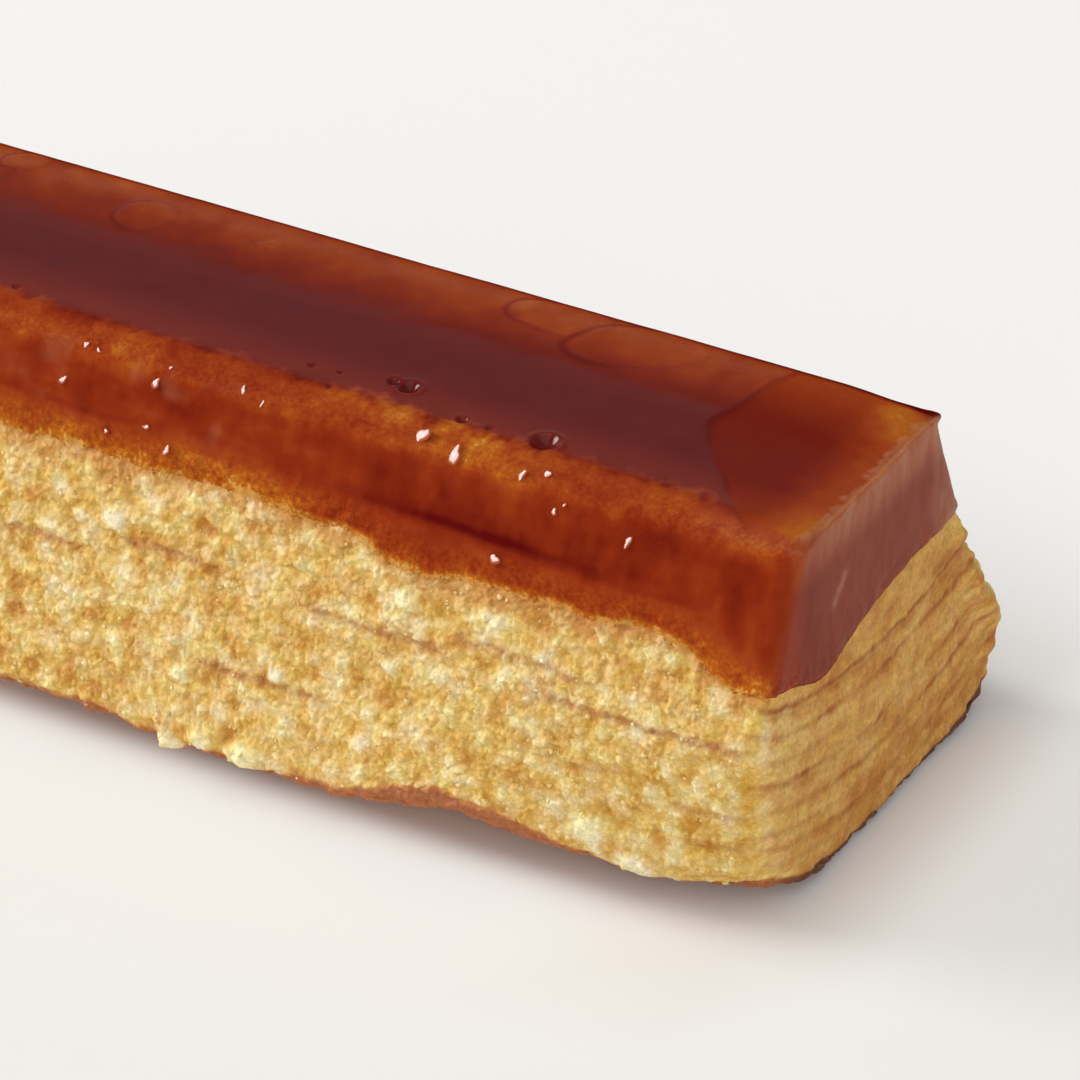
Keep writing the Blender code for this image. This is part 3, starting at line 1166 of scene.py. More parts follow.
@dataclass
class CrumbWall:
    """One upright side of the cake, from under its foot to under the caramel's rim."""

    form: BarForm
    side: Side
    name: str
    start: float
    stop: float
    columns: int
    rows: int = 190
    cover: float = 2.0
    slab: float = 2.0
    lap: float = 0.5
    groove: float = 0.07
    buried: float = 0.8
    film: float = 0.22

    def height(self, share: Array) -> Height:
        """Share out the height from the skin to just above the rim.

        Args:
            share: each point's share of the height.

        Returns:
            The function that gives the heights from x and y.
        """
        def level(x: Array, y: Array) -> Array:
            """Give each point its share of the way from the skin to over the rim."""
            low = self.form.underside(y) + 0.15
            return low + share * (self.form.rim(x, y) + self.cover - low)
        return level

    def build(self, material: bpy.types.Material) -> bpy.types.Object:
        """Build the side as a closed slab whose face is the torn or cut crumb.

        The face is a grid of the run along the side and the share of the height. Each point
        moves out by the crumb's relief, fading under the caramel, and in by the film's depth.

        Args:
            material: the sponge's finish.

        Returns:
            The piece.
        """
        shares, runs = np.linspace(0.0, 1.0, self.rows), np.linspace(self.start, self.stop, self.columns)
        share, run = np.meshgrid(shares, runs, indexing="ij")
        a, b = self.side.run(run.ravel())
        places, outward = self.form.stand(a, b, self.height(share.ravel()))
        torn = self.form.tornness(places, outward)
        above = places[:, 2] - self.form.rim(places[:, 0], places[:, 1])
        pattern = CrumbPattern(self.form)
        line = pattern.browning(places, torn)
        marks = {"tone": pattern.tone(places, torn), "line": line, "skin": pattern.skin_share(places, torn)}
        relief = self.form.crumb_relief(places, torn) + pattern.lump_share(places, torn, True)
        relief = relief - self.groove * line
        lap = self.lap * torn
        covered = smooth(lap, lap + 0.9, above)
        sunk = self.buried * covered + self.film * torn * smooth(-2.4, 0.2, above)
        places = self.form.settle(places + outward * (relief * (1.0 - covered) - sunk)[:, None])
        inward = -self.slab * outward[grid_border(self.rows, self.columns)]
        points, quads, fan = close_slab(places, self.rows, self.columns, inward)
        mesh = set_mesh(self.name, points, quads, fan)
        seep = 0.5 * bell(places[:, 0], 26.0, 13.0) * (places[:, 1] < 0.0)
        rim = above + seep * smooth(-4.0, -1.0, above)
        long_side = self.form.facing(outward)
        set_marks(mesh, {"torn": torn, "long": long_side, "relief": relief, "rim": rim} | marks)
        return add_piece(mesh, material, "sponge")


@dataclass
class CakeCore:
    """The plain inside of the cake, which the sides, the skin and the caramel cover."""

    form: BarForm
    inset: float = 1.4
    top: float = 34.6
    rings: int = 12
    columns: int = 80
    across: int = 24

    def build(self, material: bpy.types.Material) -> bpy.types.Object:
        """Build a closed bar inside the other pieces: rings of the form, capped by flat fans.

        Args:
            material: the sponge's finish.

        Returns:
            The piece.
        """
        along = np.linspace(-1.0, 1.0, self.columns)
        cross = np.linspace(-1.0, 1.0, self.across)
        runs = [side.run(along if side in (Side.FRONT, Side.BACK) else cross) for side in Side]
        a = np.concatenate([run[0][:-1] for run in runs])
        b = np.concatenate([run[1][:-1] for run in runs])
        count = len(a)
        level = self.level(np.repeat(np.linspace(0.0, 1.0, self.rings), count))
        places, _ = self.form.stand(
            np.tile(a, self.rings), np.tile(b, self.rings), level, self.inset, self.inset
        )
        self.form.settle(places)
        middles = np.array([places[:count].mean(axis=0), places[-count:].mean(axis=0)])
        fans = belt_fans(self.rings, count, len(places), len(places) + 1)
        mesh = set_mesh("cake_core", np.vstack((places, middles)), belt_faces(self.rings, count), fans)
        set_marks(mesh, {"torn": 0.2, "long": 0.5, "relief": 0.0} | PLAIN)
        return add_piece(mesh, material, "sponge")

    def level(self, share: Array) -> Height:
        """Share out the height from above the skin to under the cap.

        Args:
            share: each point's share of the height.

        Returns:
            The function that gives the heights from x and y.
        """
        def height(x: Array, y: Array) -> Array:
            """Give each point its share of the way from over the skin to the core's top."""
            low = self.form.underside(y) + 1.0
            return low + share * (self.top - low)
        return height


@dataclass
class BrownedSkin:
    """The ring's browned outer skin under the bar, with crags along its edge."""

    form: BarForm
    columns: int = 330
    rows: int = 150
    wrap: float = 0.06
    thickness: float = 0.75
    plan_size: tuple[float, float] = (52.0, 22.0)
    slab: float = 1.2

    def build(self, material: bpy.types.Material) -> bpy.types.Object:
        """Build the skin as a closed slab whose face looks down and wraps round the foot.

        The square's middle lies on the underside. Its border turns up round the foot by the
        thickness, unevenly, and stands out in crags.

        Args:
            material: the skin's finish.

        Returns:
            The piece.
        """
        b, a = np.meshgrid(
            np.linspace(1.0, -1.0, self.rows), np.linspace(-1.0, 1.0, self.columns), indexing="ij"
        )
        a, b = a.ravel(), b.ravel()
        out = np.maximum(np.abs(a), np.abs(b))
        turn = smooth(1.0 - self.wrap, 1.0, out)
        fold = np.minimum(out, 1.0 - self.wrap) / np.maximum(out, 1e-9) / (1.0 - self.wrap)
        a, b = a * fold, b * fold
        plan = on_plan(a * self.plan_size[0], b * self.plan_size[1])
        ragged = Grain.mixed(plan, (0.45, 4.0, 41), (0.4, 1.4, 42), (0.35, 0.6, 45))
        front = smooth(0.6, 0.85, -b)
        turned_up = turn * self.thickness * (0.75 + 1.1 * ragged) * (1.0 - 0.35 * front)

        places, outward = self.form.stand(a, b, lambda x, y: self.form.underside(y) + turned_up)
        ripple = Grain.mixed(places, (0.22, 3.2, 43), (0.12, 0.9, 44))
        resting = smooth(-0.2, 1.5, self.form.underside(places[:, 1]))
        edge = smooth(1.0 - 2.2 * self.wrap, 1.0 - self.wrap, out)
        hidden = 1.1 * smooth(40.0, 46.0, places[:, 0]) * smooth(-8.0, -15.0, places[:, 1])
        hidden = np.maximum(hidden, 0.30 * front) - 0.12 * smooth(0.9, 0.97, np.abs(a)) * (1.0 - front)
        craggy = 0.5 * ragged * (1.0 - 0.6 * front) - 0.1 - hidden
        places = places + outward * (edge * craggy)[:, None]
        places[:, 2] += np.abs(ripple) * (0.1 + 0.9 * resting) * (1.0 - turn)
        self.form.settle(places)
        inward = -self.slab * outward[grid_border(self.rows, self.columns)] + np.array([0.0, 0.0, 0.5])
        points, quads, fan = close_slab(places, self.rows, self.columns, inward)
        mesh = set_mesh("browned_skin", points, quads, fan)
        far_end = smooth(20.0, 50.0, places[:, 0]) * smooth(-15.0, 5.0, places[:, 1])
        set_marks(mesh, {"browning": 0.35 * edge * (1.0 - 0.8 * front) + 0.4 * far_end})
        return add_piece(mesh, material, "sponge")


@dataclass(frozen=True)
class Blister:
    """A low swelling on the caramel's top: an oval with a slightly raised edge."""

    x: float
    y: float
    along: float
    across: float
    turn: float
    rise: float = 0.05
    lip: float = 0.012

    def far(self, x: Array, y: Array) -> Array:
        """Give the distance from the oval's middle as a share of its size."""
        cos, sin = math.cos(math.radians(self.turn)), math.sin(math.radians(self.turn))
        over, up = x - self.x, y - self.y
        return np.hypot((over * cos + up * sin) / self.along, (up * cos - over * sin) / self.across)

    def relief(self, x: Array, y: Array) -> Array:
        """Give the oval's height: a level rise inside and a narrow bell on its edge."""
        far = self.far(x, y)
        return self.rise * smooth(1.04, 0.80, far) + self.lip * bell(far, 1.0, 0.08)


@dataclass(frozen=True)
class Bubble:
    """A bubble that burst in the caramel's top and set as a round dent with a low lip."""

    x: float
    y: float
    radius: float
    depth: float = 0.60

    def far(self, x: Array, y: Array) -> Array:
        """Give the distance from the dent's middle as a share of its radius."""
        return np.hypot(x - self.x, y - self.y) / self.radius

    def relief(self, x: Array, y: Array) -> Array:
        """Give the dent's height: a bowl, level outside, with a lip as a narrow bell."""
        far = self.far(x, y)
        bowl = -self.depth * np.clip(1.0 - far * far, 0.0, 1.0)
        return self.radius * (bowl + 0.07 * bell(far, 1.15, 0.2))


@dataclass(frozen=True)
class CapPoints:
    """Points laid on the form under the cap, with how each of them lies.

    Outward is the level direction in which a point stands out, above its height over the rim,
    torn 1 on the long sides, and tilt 0 on the sides and 1 on the top.
    """

    places: Array
    outward: Array
    above: Array
    torn: Array
    tilt: Array

    @property
    def on_long(self) -> Array:
        """Give 1 where the cap faces the front or the back and 0 where it faces an end."""
        return smooth(0.35, 0.85, np.abs(self.outward[:, 1]))

    @property
    def flat(self) -> Array:
        """Give 1 on the level top and 0 on the rounded edge and the sides."""
        return smooth(0.6, 1.0, self.tilt)


@dataclass(frozen=True)
class Laid:
    """Finished points of the cap, their outward directions and their marks by name."""

    places: Array
    outward: Array
    marks: dict[str, Array]


@dataclass
class CaramelCap:
    """The set caramel over the top and the upper sides, thinning out to a wavy rim."""

    form: BarForm
    along: int = 500
    across: int = 88
    rows: int = 34
    turns: int = 10
    grading: float = 0.55
    front_edge: float = 1.9
    back_edge: float = 0.75
    end_edge: float = 0.6
    film: float = 0.04
    body: float = 0.20
    full: float = 0.36
    tuck: float = -0.22
    lap: float = 0.7
    inner_side: float = 0.9
    inner_top: float = 1.3
    blisters: tuple[Blister, ...] = (
        Blister(-40.0, 8.5, 2.4, 1.9, 25.0),
        Blister(-25.1, 5.4, 3.2, 2.4, 31.0),
        Blister(-12.4, 6.4, 1.1, 0.7, 30.0),
        Blister(16.6, 7.9, 5.0, 2.6, 8.0),
        Blister(25.2, 6.9, 6.6, 3.3, 19.0),
    )
    bubbles: tuple[Bubble, ...] = (
        Bubble(9.5, -8.3, 0.70),
        Bubble(11.1, -8.5, 1.05),
        Bubble(17.8, -10.9, 0.65),
        Bubble(20.5, -10.9, 0.45),
        Bubble(25.8, -10.6, 1.35),
        Bubble(1.8, -9.5, 0.40),
        Bubble(4.6, -9.3, 0.30),
        Bubble(5.0, -11.8, 0.38),
        Bubble(-28.2, -10.8, 0.42),
        Bubble(-14.8, -12.1, 0.30),
        Bubble(-11.8, -12.9, 0.30),
        Bubble(-35.0, -9.6, 0.35),
    )
    inner_reach: float = 40.0
    # Places of the three painted glints on the right end, as y and z.
    marks: tuple[tuple[float, float], ...] = ((-6.6, 29.9), (-7.4, 29.0), (-8.3, 28.1))

    def shore(self, y: Array) -> Array:
        """Give where the sunk right end begins: a line across the top, bent like a chevron.

        Each arm is a slope times a soft ramp, half the sum of the distance from the bend and
        its hypotenuse with a small rounding.
        """
        off = y + 1.7
        bend = np.hypot(off, 2.4)
        return 34.9 + 0.16 * (off + bend) + 0.46 * (bend - off)

    def top_relief(self, x: Array, y: Array) -> Array:
        """Give the top's relief: swellings, a sunk right end behind its bowed edge, faint waves.

        The back half rises a little, less towards the right end, and falls at its very edge.

        Args:
            x: places along the bar.
            y: places across it.

        Returns:
            Heights in millimetres.
        """
        wander_x, wander_y = self.wander(x, y)
        total = sum(blister.relief(wander_x, wander_y) for blister in self.blisters)
        total = total + sum(bubble.relief(x, y) for bubble in self.bubbles)
        beyond = wander_x - self.shore(wander_y)
        sunk = 0.07 * smooth(-0.25, 0.7, beyond) + 0.03 * np.maximum(beyond, 0.0)
        waves = Grain.mixed(on_plan(x, y), (0.05, 9.0, 51), (0.012, 2.2, 52))
        lower = 0.46 * smooth(43.0, 51.0, x) + 0.30 * smooth(49.5, 52.5, x)
        back = 0.44 * smooth(0.5, 9.5, y) - 0.05 * smooth(8.5, 11.0, y) - lower * smooth(3.0, 9.0, y)
        return total - sunk * smooth(10.0, 3.0, y) + waves + back

    def wander(self, x: Array, y: Array) -> tuple[Array, Array]:
        """Move plan places about a little, so that drawn outlines look grown."""
        plan = on_plan(x, y)
        return x + Grain.mixed(plan, (0.35, 3.4, 61), (0.12, 1.3, 62)), y + 0.35 * Grain.soft(plan, 3.0, 63)

    def side_relief(self, at: CapPoints) -> Array:
        """Give the sides' relief: a film that sinks into the crumb, flows above, fluted ends.

        Args:
            at: the points.

        Returns:
            Heights in millimetres.
        """
        places, above, torn = at.places, at.above, at.torn
        cut = self.film + self.body * smooth(0.0, 0.5, above)
        over_crumb = self.tuck * smooth(0.5, -0.6, above) + self.full * smooth(0.2, 4.5, above)
        thick = cut + (over_crumb - cut) * torn
        crumb = self.form.crumb_relief(places, torn) * smooth(4.5, 0.3, above)
        flows = 0.16 * Grain.soft(places * np.array([0.6, 1.0, 1.0]), 3.6, 53)
        flows = flows + 0.07 * Grain.soft(places, 1.5, 54)
        flows = flows * smooth(1.0, 5.0, above) * (0.3 + 0.7 * torn)
        depth = self.form.height - places[:, 2]
        on_end = np.abs(at.outward[:, 0]) ** 4
        flutes = Grain.mixed(places * np.array([1.0, 1.0, 0.12]), (0.10, 1.2, 55), (0.06, 0.55, 56))
        flutes = 0.9 * flutes * on_end * smooth(4.5, 0.2, depth)
        teeth = Grain.mixed(places, (0.22, 1.1, 57), (0.16, 0.5, 58)) * on_end * smooth(1.4, 0.3, depth)
        return crumb + thick + flows + flutes + teeth

    def top_shade(self, x: Array, y: Array) -> Array:
        """Give how thin the caramel looks on the top.

        It thins out towards the back and the front, with a frayed pale fringe along the front, partly
        thinner caramel and partly painted glow of light through the rounded edge.
        Blisters have dark edges, a painted shade darkest on their left; bubbles are darker inside,
        a painted shade in their dents; and the sunk right end has a colour of its own.

        Args:
            x: places along the bar.
            y: places across it.

        Returns:
            The thinness at each point.
        """
        wander_x, wander_y = self.wander(x, y)
        plan = on_plan(x, y)
        frayed = y + Grain.mixed(plan, (0.9, 2.6, 64), (0.5, 0.9, 65), (0.5, 0.45, 88))
        swell = 0.34 + 0.22 * bell(x, 17.0, 9.0) + 0.06 * smooth(0.0, 10.0, x)
        top = 0.04 + 0.60 * smooth(-1.5, 8.8, y) + 0.23 * smooth(-5.0, -11.0, y)
        # Pale fringe at the front: partly thinner caramel, partly painted glow of light through the edge.
        top = top + swell * smooth(-10.2, -13.2, frayed)
        mottle = Grain.mixed(plan, (0.09, 3.1, 86), (0.06, 1.3, 87))
        top = top + mottle * (smooth(0.0, 6.0, y) + smooth(-9.5, -12.0, y))
        top = top - 0.08 * bell(frayed, -11.3, 0.5) * (1.0 + 1.5 * Grain.soft(plan, 0.5, 75))
        # Painted shade: each blister's edge is darker, most on its left.
        for blister in self.blisters:
            far = blister.far(wander_x, wander_y)
            left = smooth(0.5, -0.7, (wander_x - blister.x) / blister.along)
            top = top - (0.06 + 0.20 * left) * bell(far, 1.0, 0.06) + 0.04 * smooth(1.0, 0.8, far)
        # Painted shade: the inside of each bubble's dent is darker.
        for bubble in self.bubbles:
            top = top - 0.12 * smooth(1.2, 0.7, bubble.far(x, y))
        beyond = wander_x - self.shore(wander_y)
        near_end = smooth(45.5, 51.5, x + 0.6 * Grain.soft(plan, 1.2, 78))
        end_top = 0.24 + 0.38 * smooth(2.0, 9.5, y) + 0.26 * smooth(-6.0, -13.0, y)
        end_top = np.minimum(end_top + 0.40 * near_end - 0.16 * bell(beyond, 0.2, 0.5), 0.84)
        return top + (end_top - top) * smooth(-0.2, 0.4, beyond)

    def crease_shadow(self, places: Array) -> Array:
        """Give the painted shadow in the creases along the front, where the caramel sagged as it set.

        Each is a bell over the height, for a run along the bar.

        Args:
            places: points on the cap.

        Returns:
            The painted shadow's strength.
        """
        x, y, z = places.T
        plan = on_plan(x, y)
        sag = 30.45 + 0.35 * Grain.soft(plan, 5.0, 66)
        crease_shadow = (bell(z, sag, 0.42) + 0.35 * bell(z, sag, 1.2)) * window(x, (6.0, 21.0), (38.0, 26.0))
        crease_shadow = crease_shadow * (0.8 + 0.35 * Grain.soft(plan, 2.2, 70))
        crease_shadow = crease_shadow + 0.30 * bell(z, sag - 0.6, 0.3) * window(x, (27.0, 31.0), (48.0, 42.0))
        return crease_shadow + 0.45 * bell(z, sag + 0.6, 0.35) * window(x, (-29.0, -24.0), (-9.0, -14.0))

    def long_shade(self, at: CapPoints) -> Array:
        """Give how thin the caramel looks on the long sides, palest at its rim.

        Args:
            at: the points.

        Returns:
            The thinness at each point.
        """
        x, y, z = at.places.T
        wavering = z + 0.5 * Grain.soft(on_plan(x, y), 1.6, 69)
        # Pale band under the rounded edge: partly thinner caramel, partly painted glow of light through it.
        fringe = bell(wavering, 35.8, 1.1) * (0.22 + 0.12 * bell(x, 20.0, 9.0))
        streaks = Grain.mixed(np.column_stack((0.4 * x, y, z)), (0.13, 2.6, 67), (0.09, 1.0, 68))
        fibres = Grain.mixed(np.column_stack((x, y, 0.3 * z)), (0.10, 1.7, 76), (0.08, 0.7, 77))
        fibres = fibres * smooth(0.6, -0.2, at.outward[:, 1])
        # The creases darken the side: painted shadow.
        shade = 0.39 + fringe - 0.40 * self.crease_shadow(at.places) + 0.6 * streaks + fibres
        shade = shade + 0.07 * smooth(0.0, -14.0, x) + 0.10 * smooth(39.0, 46.0, x)
        low = smooth(4.4, 0.9, at.above) * (1.0 - 0.42 * window(x, (2.0, 12.0), (52.0, 36.0)))
        shade = shade + (0.80 - shade) * low
        return shade + (0.95 - shade) * smooth(0.6, -0.1, at.above)

    def thinness(self, at: CapPoints) -> Array:
        """Give how thin and amber the caramel looks, from 0, maroon, to 1, golden.

        The top, the long sides and the ends are blended by how each point lies, and the top's
        back edge has a dark lip.

        Args:
            at: the points.

        Returns:
            The thinness at each point.
        """
        x, y, z = at.places.T
        end = 0.34 + 0.28 * smooth(31.5, 35.5, z) + 0.16 * smooth(-13.0, -16.0, y)
        end = end - 0.05 * bell(y, -11.5, 2.5) + 0.10 * smooth(36.0, 36.6, z)
        side = end + (self.long_shade(at) - end) * at.on_long
        side = side - 0.50 * smooth(34.8, 36.2, z) * smooth(0.3, 0.8, at.outward[:, 1])
        lip = smooth(9.85, 10.25, y) * smooth(0.5, 0.8, at.tilt) * (0.5 + 0.3 * smooth(30.0, 50.0, x))
        return side + (self.top_shade(x, y) - side) * smooth(0.55, 0.95, at.tilt) - lip

    def gloss(self, at: CapPoints) -> Array:
        """Give the clear gloss: full on the top, faint on the sides, dull where crumb shows.

        Args:
            at: the points.

        Returns:
            The gloss from 0 to 1.
        """
        x, y, _ = at.places.T
        on_end = 1.0 - at.on_long
        upright = 1.0 - smooth(0.05, 0.5, at.tilt)
        beyond = smooth(-0.3, 0.8, x - self.shore(y))
        fringe = smooth(-10.8, -12.2, y) * smooth(46.0, 40.0, x)
        gloss = (1.0 - 0.75 * fringe) * (1.0 - upright) + (0.08 + 0.18 * on_end) * upright
        gloss = gloss * (1.0 - 0.9 * smooth(3.6, 1.0, at.above) * at.torn) * (1.0 - 0.65 * beyond * at.flat)
        gloss = gloss * (1.0 - smooth(8.2, 10.2, y) * smooth(0.05, 0.6, at.tilt))
        gloss = gloss * (1.0 - on_end * window(at.tilt, (0.02, 0.3), (1.0, 0.9)))
        for bubble in self.bubbles:
            gloss = gloss * (1.0 - 0.45 * smooth(1.1, 0.9, bubble.far(x, y)) * at.flat)
        return gloss

    def haze(self, at: CapPoints) -> Array:
        """Give the painted sheen: a pale painted reflection over the ends, three painted glints, a faint
        painted reflection on the front and painted highlights along the top's toothed end edge.

        Args:
            at: the points.

        Returns:
            The haze at each point.
        """
        x, y, z = at.places.T
        on_end = 1.0 - at.on_long
        # Pale painted reflection over the ends.
        haze = on_end * (0.16 + 0.50 * smooth(31.5, 35.5, z) + 0.45 * smooth(8.5, 12.5, y))
        haze = haze * (1.0 - at.flat) * (1.0 - 0.7 * smooth(-9.0, -15.0, y))
        # Three painted glints on the right end.
        for glint_y, glint_z in self.marks:
            haze = haze + 0.7 * bell(np.hypot(y - glint_y, z - glint_z), 0.0, 0.5) * on_end * (x > 0.0)
        # A faint painted reflection on the front's upper side.
        painted_veil = smooth(0.1, 0.8, Grain.soft(at.places, 1.8, 90)) * smooth(2.0, -5.0, x)
        haze = haze + 0.20 * painted_veil * (1.0 - on_end) * window(z, (29.5, 32.0), (36.4, 35.4))
        # Painted highlights along the top's toothed end edge.
        teeth = Grain.mixed(on_plan(x, y), (0.45, 0.9, 79), (0.35, 0.35, 80))
        to_end = self.form.length / 2 - self.end_edge - x
        on_top = smooth(0.5, 1.0, at.tilt) * smooth(10.5, 8.5, y)
        return haze + 0.6 * smooth(0.30, -0.10, to_end + teeth) * on_top

    def grain_shown(self, at: CapPoints) -> Array:
        """Give how much of the crumb's grain shows through the caramel.

        Args:
            at: the points.

        Returns:
            The share at each point.
        """
        x, y, z = at.places.T
        sides = 0.10 + 0.5 * bell(z, 36.0, 0.9) * at.on_long + 0.6 * smooth(3.4, 0.6, at.above)
        top = 0.12 * smooth(3.5, 9.5, y) + 0.12 * smooth(46.0, 52.0, x)
        top = top + 0.40 * smooth(-11.0, -12.6, y) * smooth(46.0, 40.0, x)
        return sides * (1.0 - at.flat) + top * at.flat

    def border(self) -> tuple[Array, Array]:
        """Give the top grid's border once round: the steps along and the steps across."""
        along, across = np.arange(self.along), np.arange(self.across)
        start, stop = np.zeros_like(along), np.full_like(along, self.across)
        right, left = np.full_like(across, self.along), np.zeros_like(across)
        i = np.concatenate((along, right, self.along - along, left))
        j = np.concatenate((start, across, stop, self.across - across))
        return i, j

    def build(self, material: bpy.types.Material) -> bpy.types.Object:
        """Build the cap as one closed shell.

        Outside it is a belt of rows round the bar, up the sides and over the rounded edge, and
        a grid over the top. Inside, two rings and a strip to a middle line close it.

        Args:
            material: the caramel's finish.

        Returns:
            The piece.
        """
        i, j = self.border()
        ring = len(i)
        a, b = 2.0 * i / self.along - 1.0, self.grade(j)
        up = np.concatenate((np.linspace(0.0, 1.0, self.rows), np.ones(self.turns)))
        angle = np.concatenate((np.zeros(self.rows), np.linspace(0.0, 0.5 * np.pi, self.turns + 1)[1:]))
        rows = len(up)
        belt = self.lay(np.tile(a, rows), np.tile(b, rows), np.repeat(up, ring), np.repeat(angle, ring))
        grid_i, grid_j = np.meshgrid(np.arange(1, self.along), np.arange(1, self.across), indexing="ij")
        flat_a, flat_b = 2.0 * grid_i.ravel() / self.along - 1.0, self.grade(grid_j.ravel())
        one = np.ones_like(flat_a)
        flat = self.lay(flat_a, flat_b, one, 0.5 * np.pi * one)

        number = np.empty((self.along + 1, self.across + 1), dtype=int)
        number[i, j] = (rows - 1) * ring + np.arange(ring)
        number[1:-1, 1:-1] = rows * ring + np.arange(len(flat_a)).reshape(grid_i.shape)
        top = np.stack((number[:-1, :-1], number[1:, :-1], number[1:, 1:], number[:-1, 1:]), axis=-1)

        ceiling = self.form.height - self.inner_top
        low = belt.places[:ring] - 0.75 * belt.outward[:ring]
        pull = self.inner_side
        high, _ = self.form.stand(a, b, lambda x, y: np.full_like(x, ceiling), pull, pull)
        steps = np.linspace(-self.inner_reach, self.inner_reach, self.along + 1)
        middle = np.column_stack((steps, np.full_like(steps, -1.0), np.full_like(steps, ceiling)))
        here, after = np.arange(ring), np.roll(np.arange(ring), -1)
        first = len(belt.places) + len(flat.places)
        second = first + ring
        join = second + ring + i
        next_join = np.roll(join, -1)
        inside = np.vstack((
            np.column_stack((here, first + here, first + after, after)),
            np.column_stack((first + here, second + here, second + after, first + after)),
        ))
        split = join != next_join
        strip = np.column_stack((second + here, join, next_join, second + after))[split]
        fans = np.column_stack((second + here, join, second + after))[~split]
        places = np.vstack((belt.places, flat.places, low, high, middle))
        quads = np.vstack((belt_faces(rows, ring), top.reshape(-1, 4), inside, strip))
        mesh = set_mesh("caramel_cap", places, quads, fans)
        set_marks(mesh, {
            name: np.concatenate((values, flat.marks[name])) for name, values in belt.marks.items()
        })
        return add_piece(mesh, material, "caramel")

    def grade(self, step: Array) -> Array:
        """Turn steps across into places from -1 to 1, closer together at the front."""
        share = step / self.across
        return 2.0 * ((1.0 - self.grading) * share + self.grading * share * share) - 1.0

    def lay(self, a: Array, b: Array, up: Array, angle: Array) -> Laid:
        """Lay points on the cap.

        Up to the edge the height is shared out above the rim. Round the edge it follows a
        quarter circle whose radius is the front's, the back's or the ends'. The relief is added
        along the side's direction on the sides and upwards on the top. At the back of the right
        end the corner and the shoulder under it are moved out a little.

        Args:
            a: places along the square from -1 to 1.
            b: places across it.
            up: share of the way from the rim to the edge.
            angle: turn round the edge, a right angle on the top.

        Returns:
            The finished points.
        """
        long_edge = np.where(b < 0.0, self.front_edge, self.back_edge)
        on_end = smooth(1.0 - 2.0 * self.form.front_corner / self.form.length, 1.0, np.abs(a))
        on_long = smooth(1.0 - self.form.front_corner / self.form.top_half_width, 1.0, np.abs(b))
        weight = on_end / np.maximum(on_end + on_long, 1e-6)
        edge = long_edge + (self.end_edge - long_edge) * weight
        turned = 1.0 - np.cos(angle)

        def height(x: Array, y: Array) -> Array:
            """Give each point's height: its share of the straight side, then the edge's arc."""
            inland = smooth(1.0, 4.0, self.form.length / 2 - np.abs(x))
            rim = self.form.rim(x, y) - self.lap * inland
            straight = rim + up * (self.form.height - edge - rim)
            return straight + edge * np.sin(angle)

        places, outward = self.form.stand(a, b, height, self.end_edge * turned, long_edge * turned)
        x, y, z = places.T
        above = z - self.form.rim(x, y)
        at = CapPoints(places, outward, above, self.form.tornness(places, outward), np.sin(angle))
        sides = self.side_relief(at) * (1.0 - smooth(0.3, 1.0, at.tilt))
        crown = self.top_relief(x, y) * smooth(0.2, 1.0, at.tilt)
        moved = places + outward * (np.cos(angle) * sides)[:, None]
        moved[:, 2] += crown
        corner = bell(np.hypot(x - 52.0, y - 10.6), 0.0, 0.9) * smooth(35.6, 36.6, z)
        shoulder = bell(z, 25.0, 0.7) * bell(np.hypot(x - 52.0, y - 14.4), 0.0, 1.2)
        moved[:, 0] += 0.40 * corner
        moved[:, 1] += 0.35 * corner + 0.6 * shoulder
        return Laid(moved, outward, {
            "thin": self.thinness(at) - 0.9 * corner,
            "torn": at.torn * (1.0 - at.tilt),
            "gloss": self.gloss(at),
            "haze": self.haze(at),
            "grain": self.grain_shown(at),
        })


@dataclass(frozen=True)
class Bead:
    """A bead of caramel on the front, with its place, half width and half height."""

    x: float
    z: float
    wide: float
    tall: float


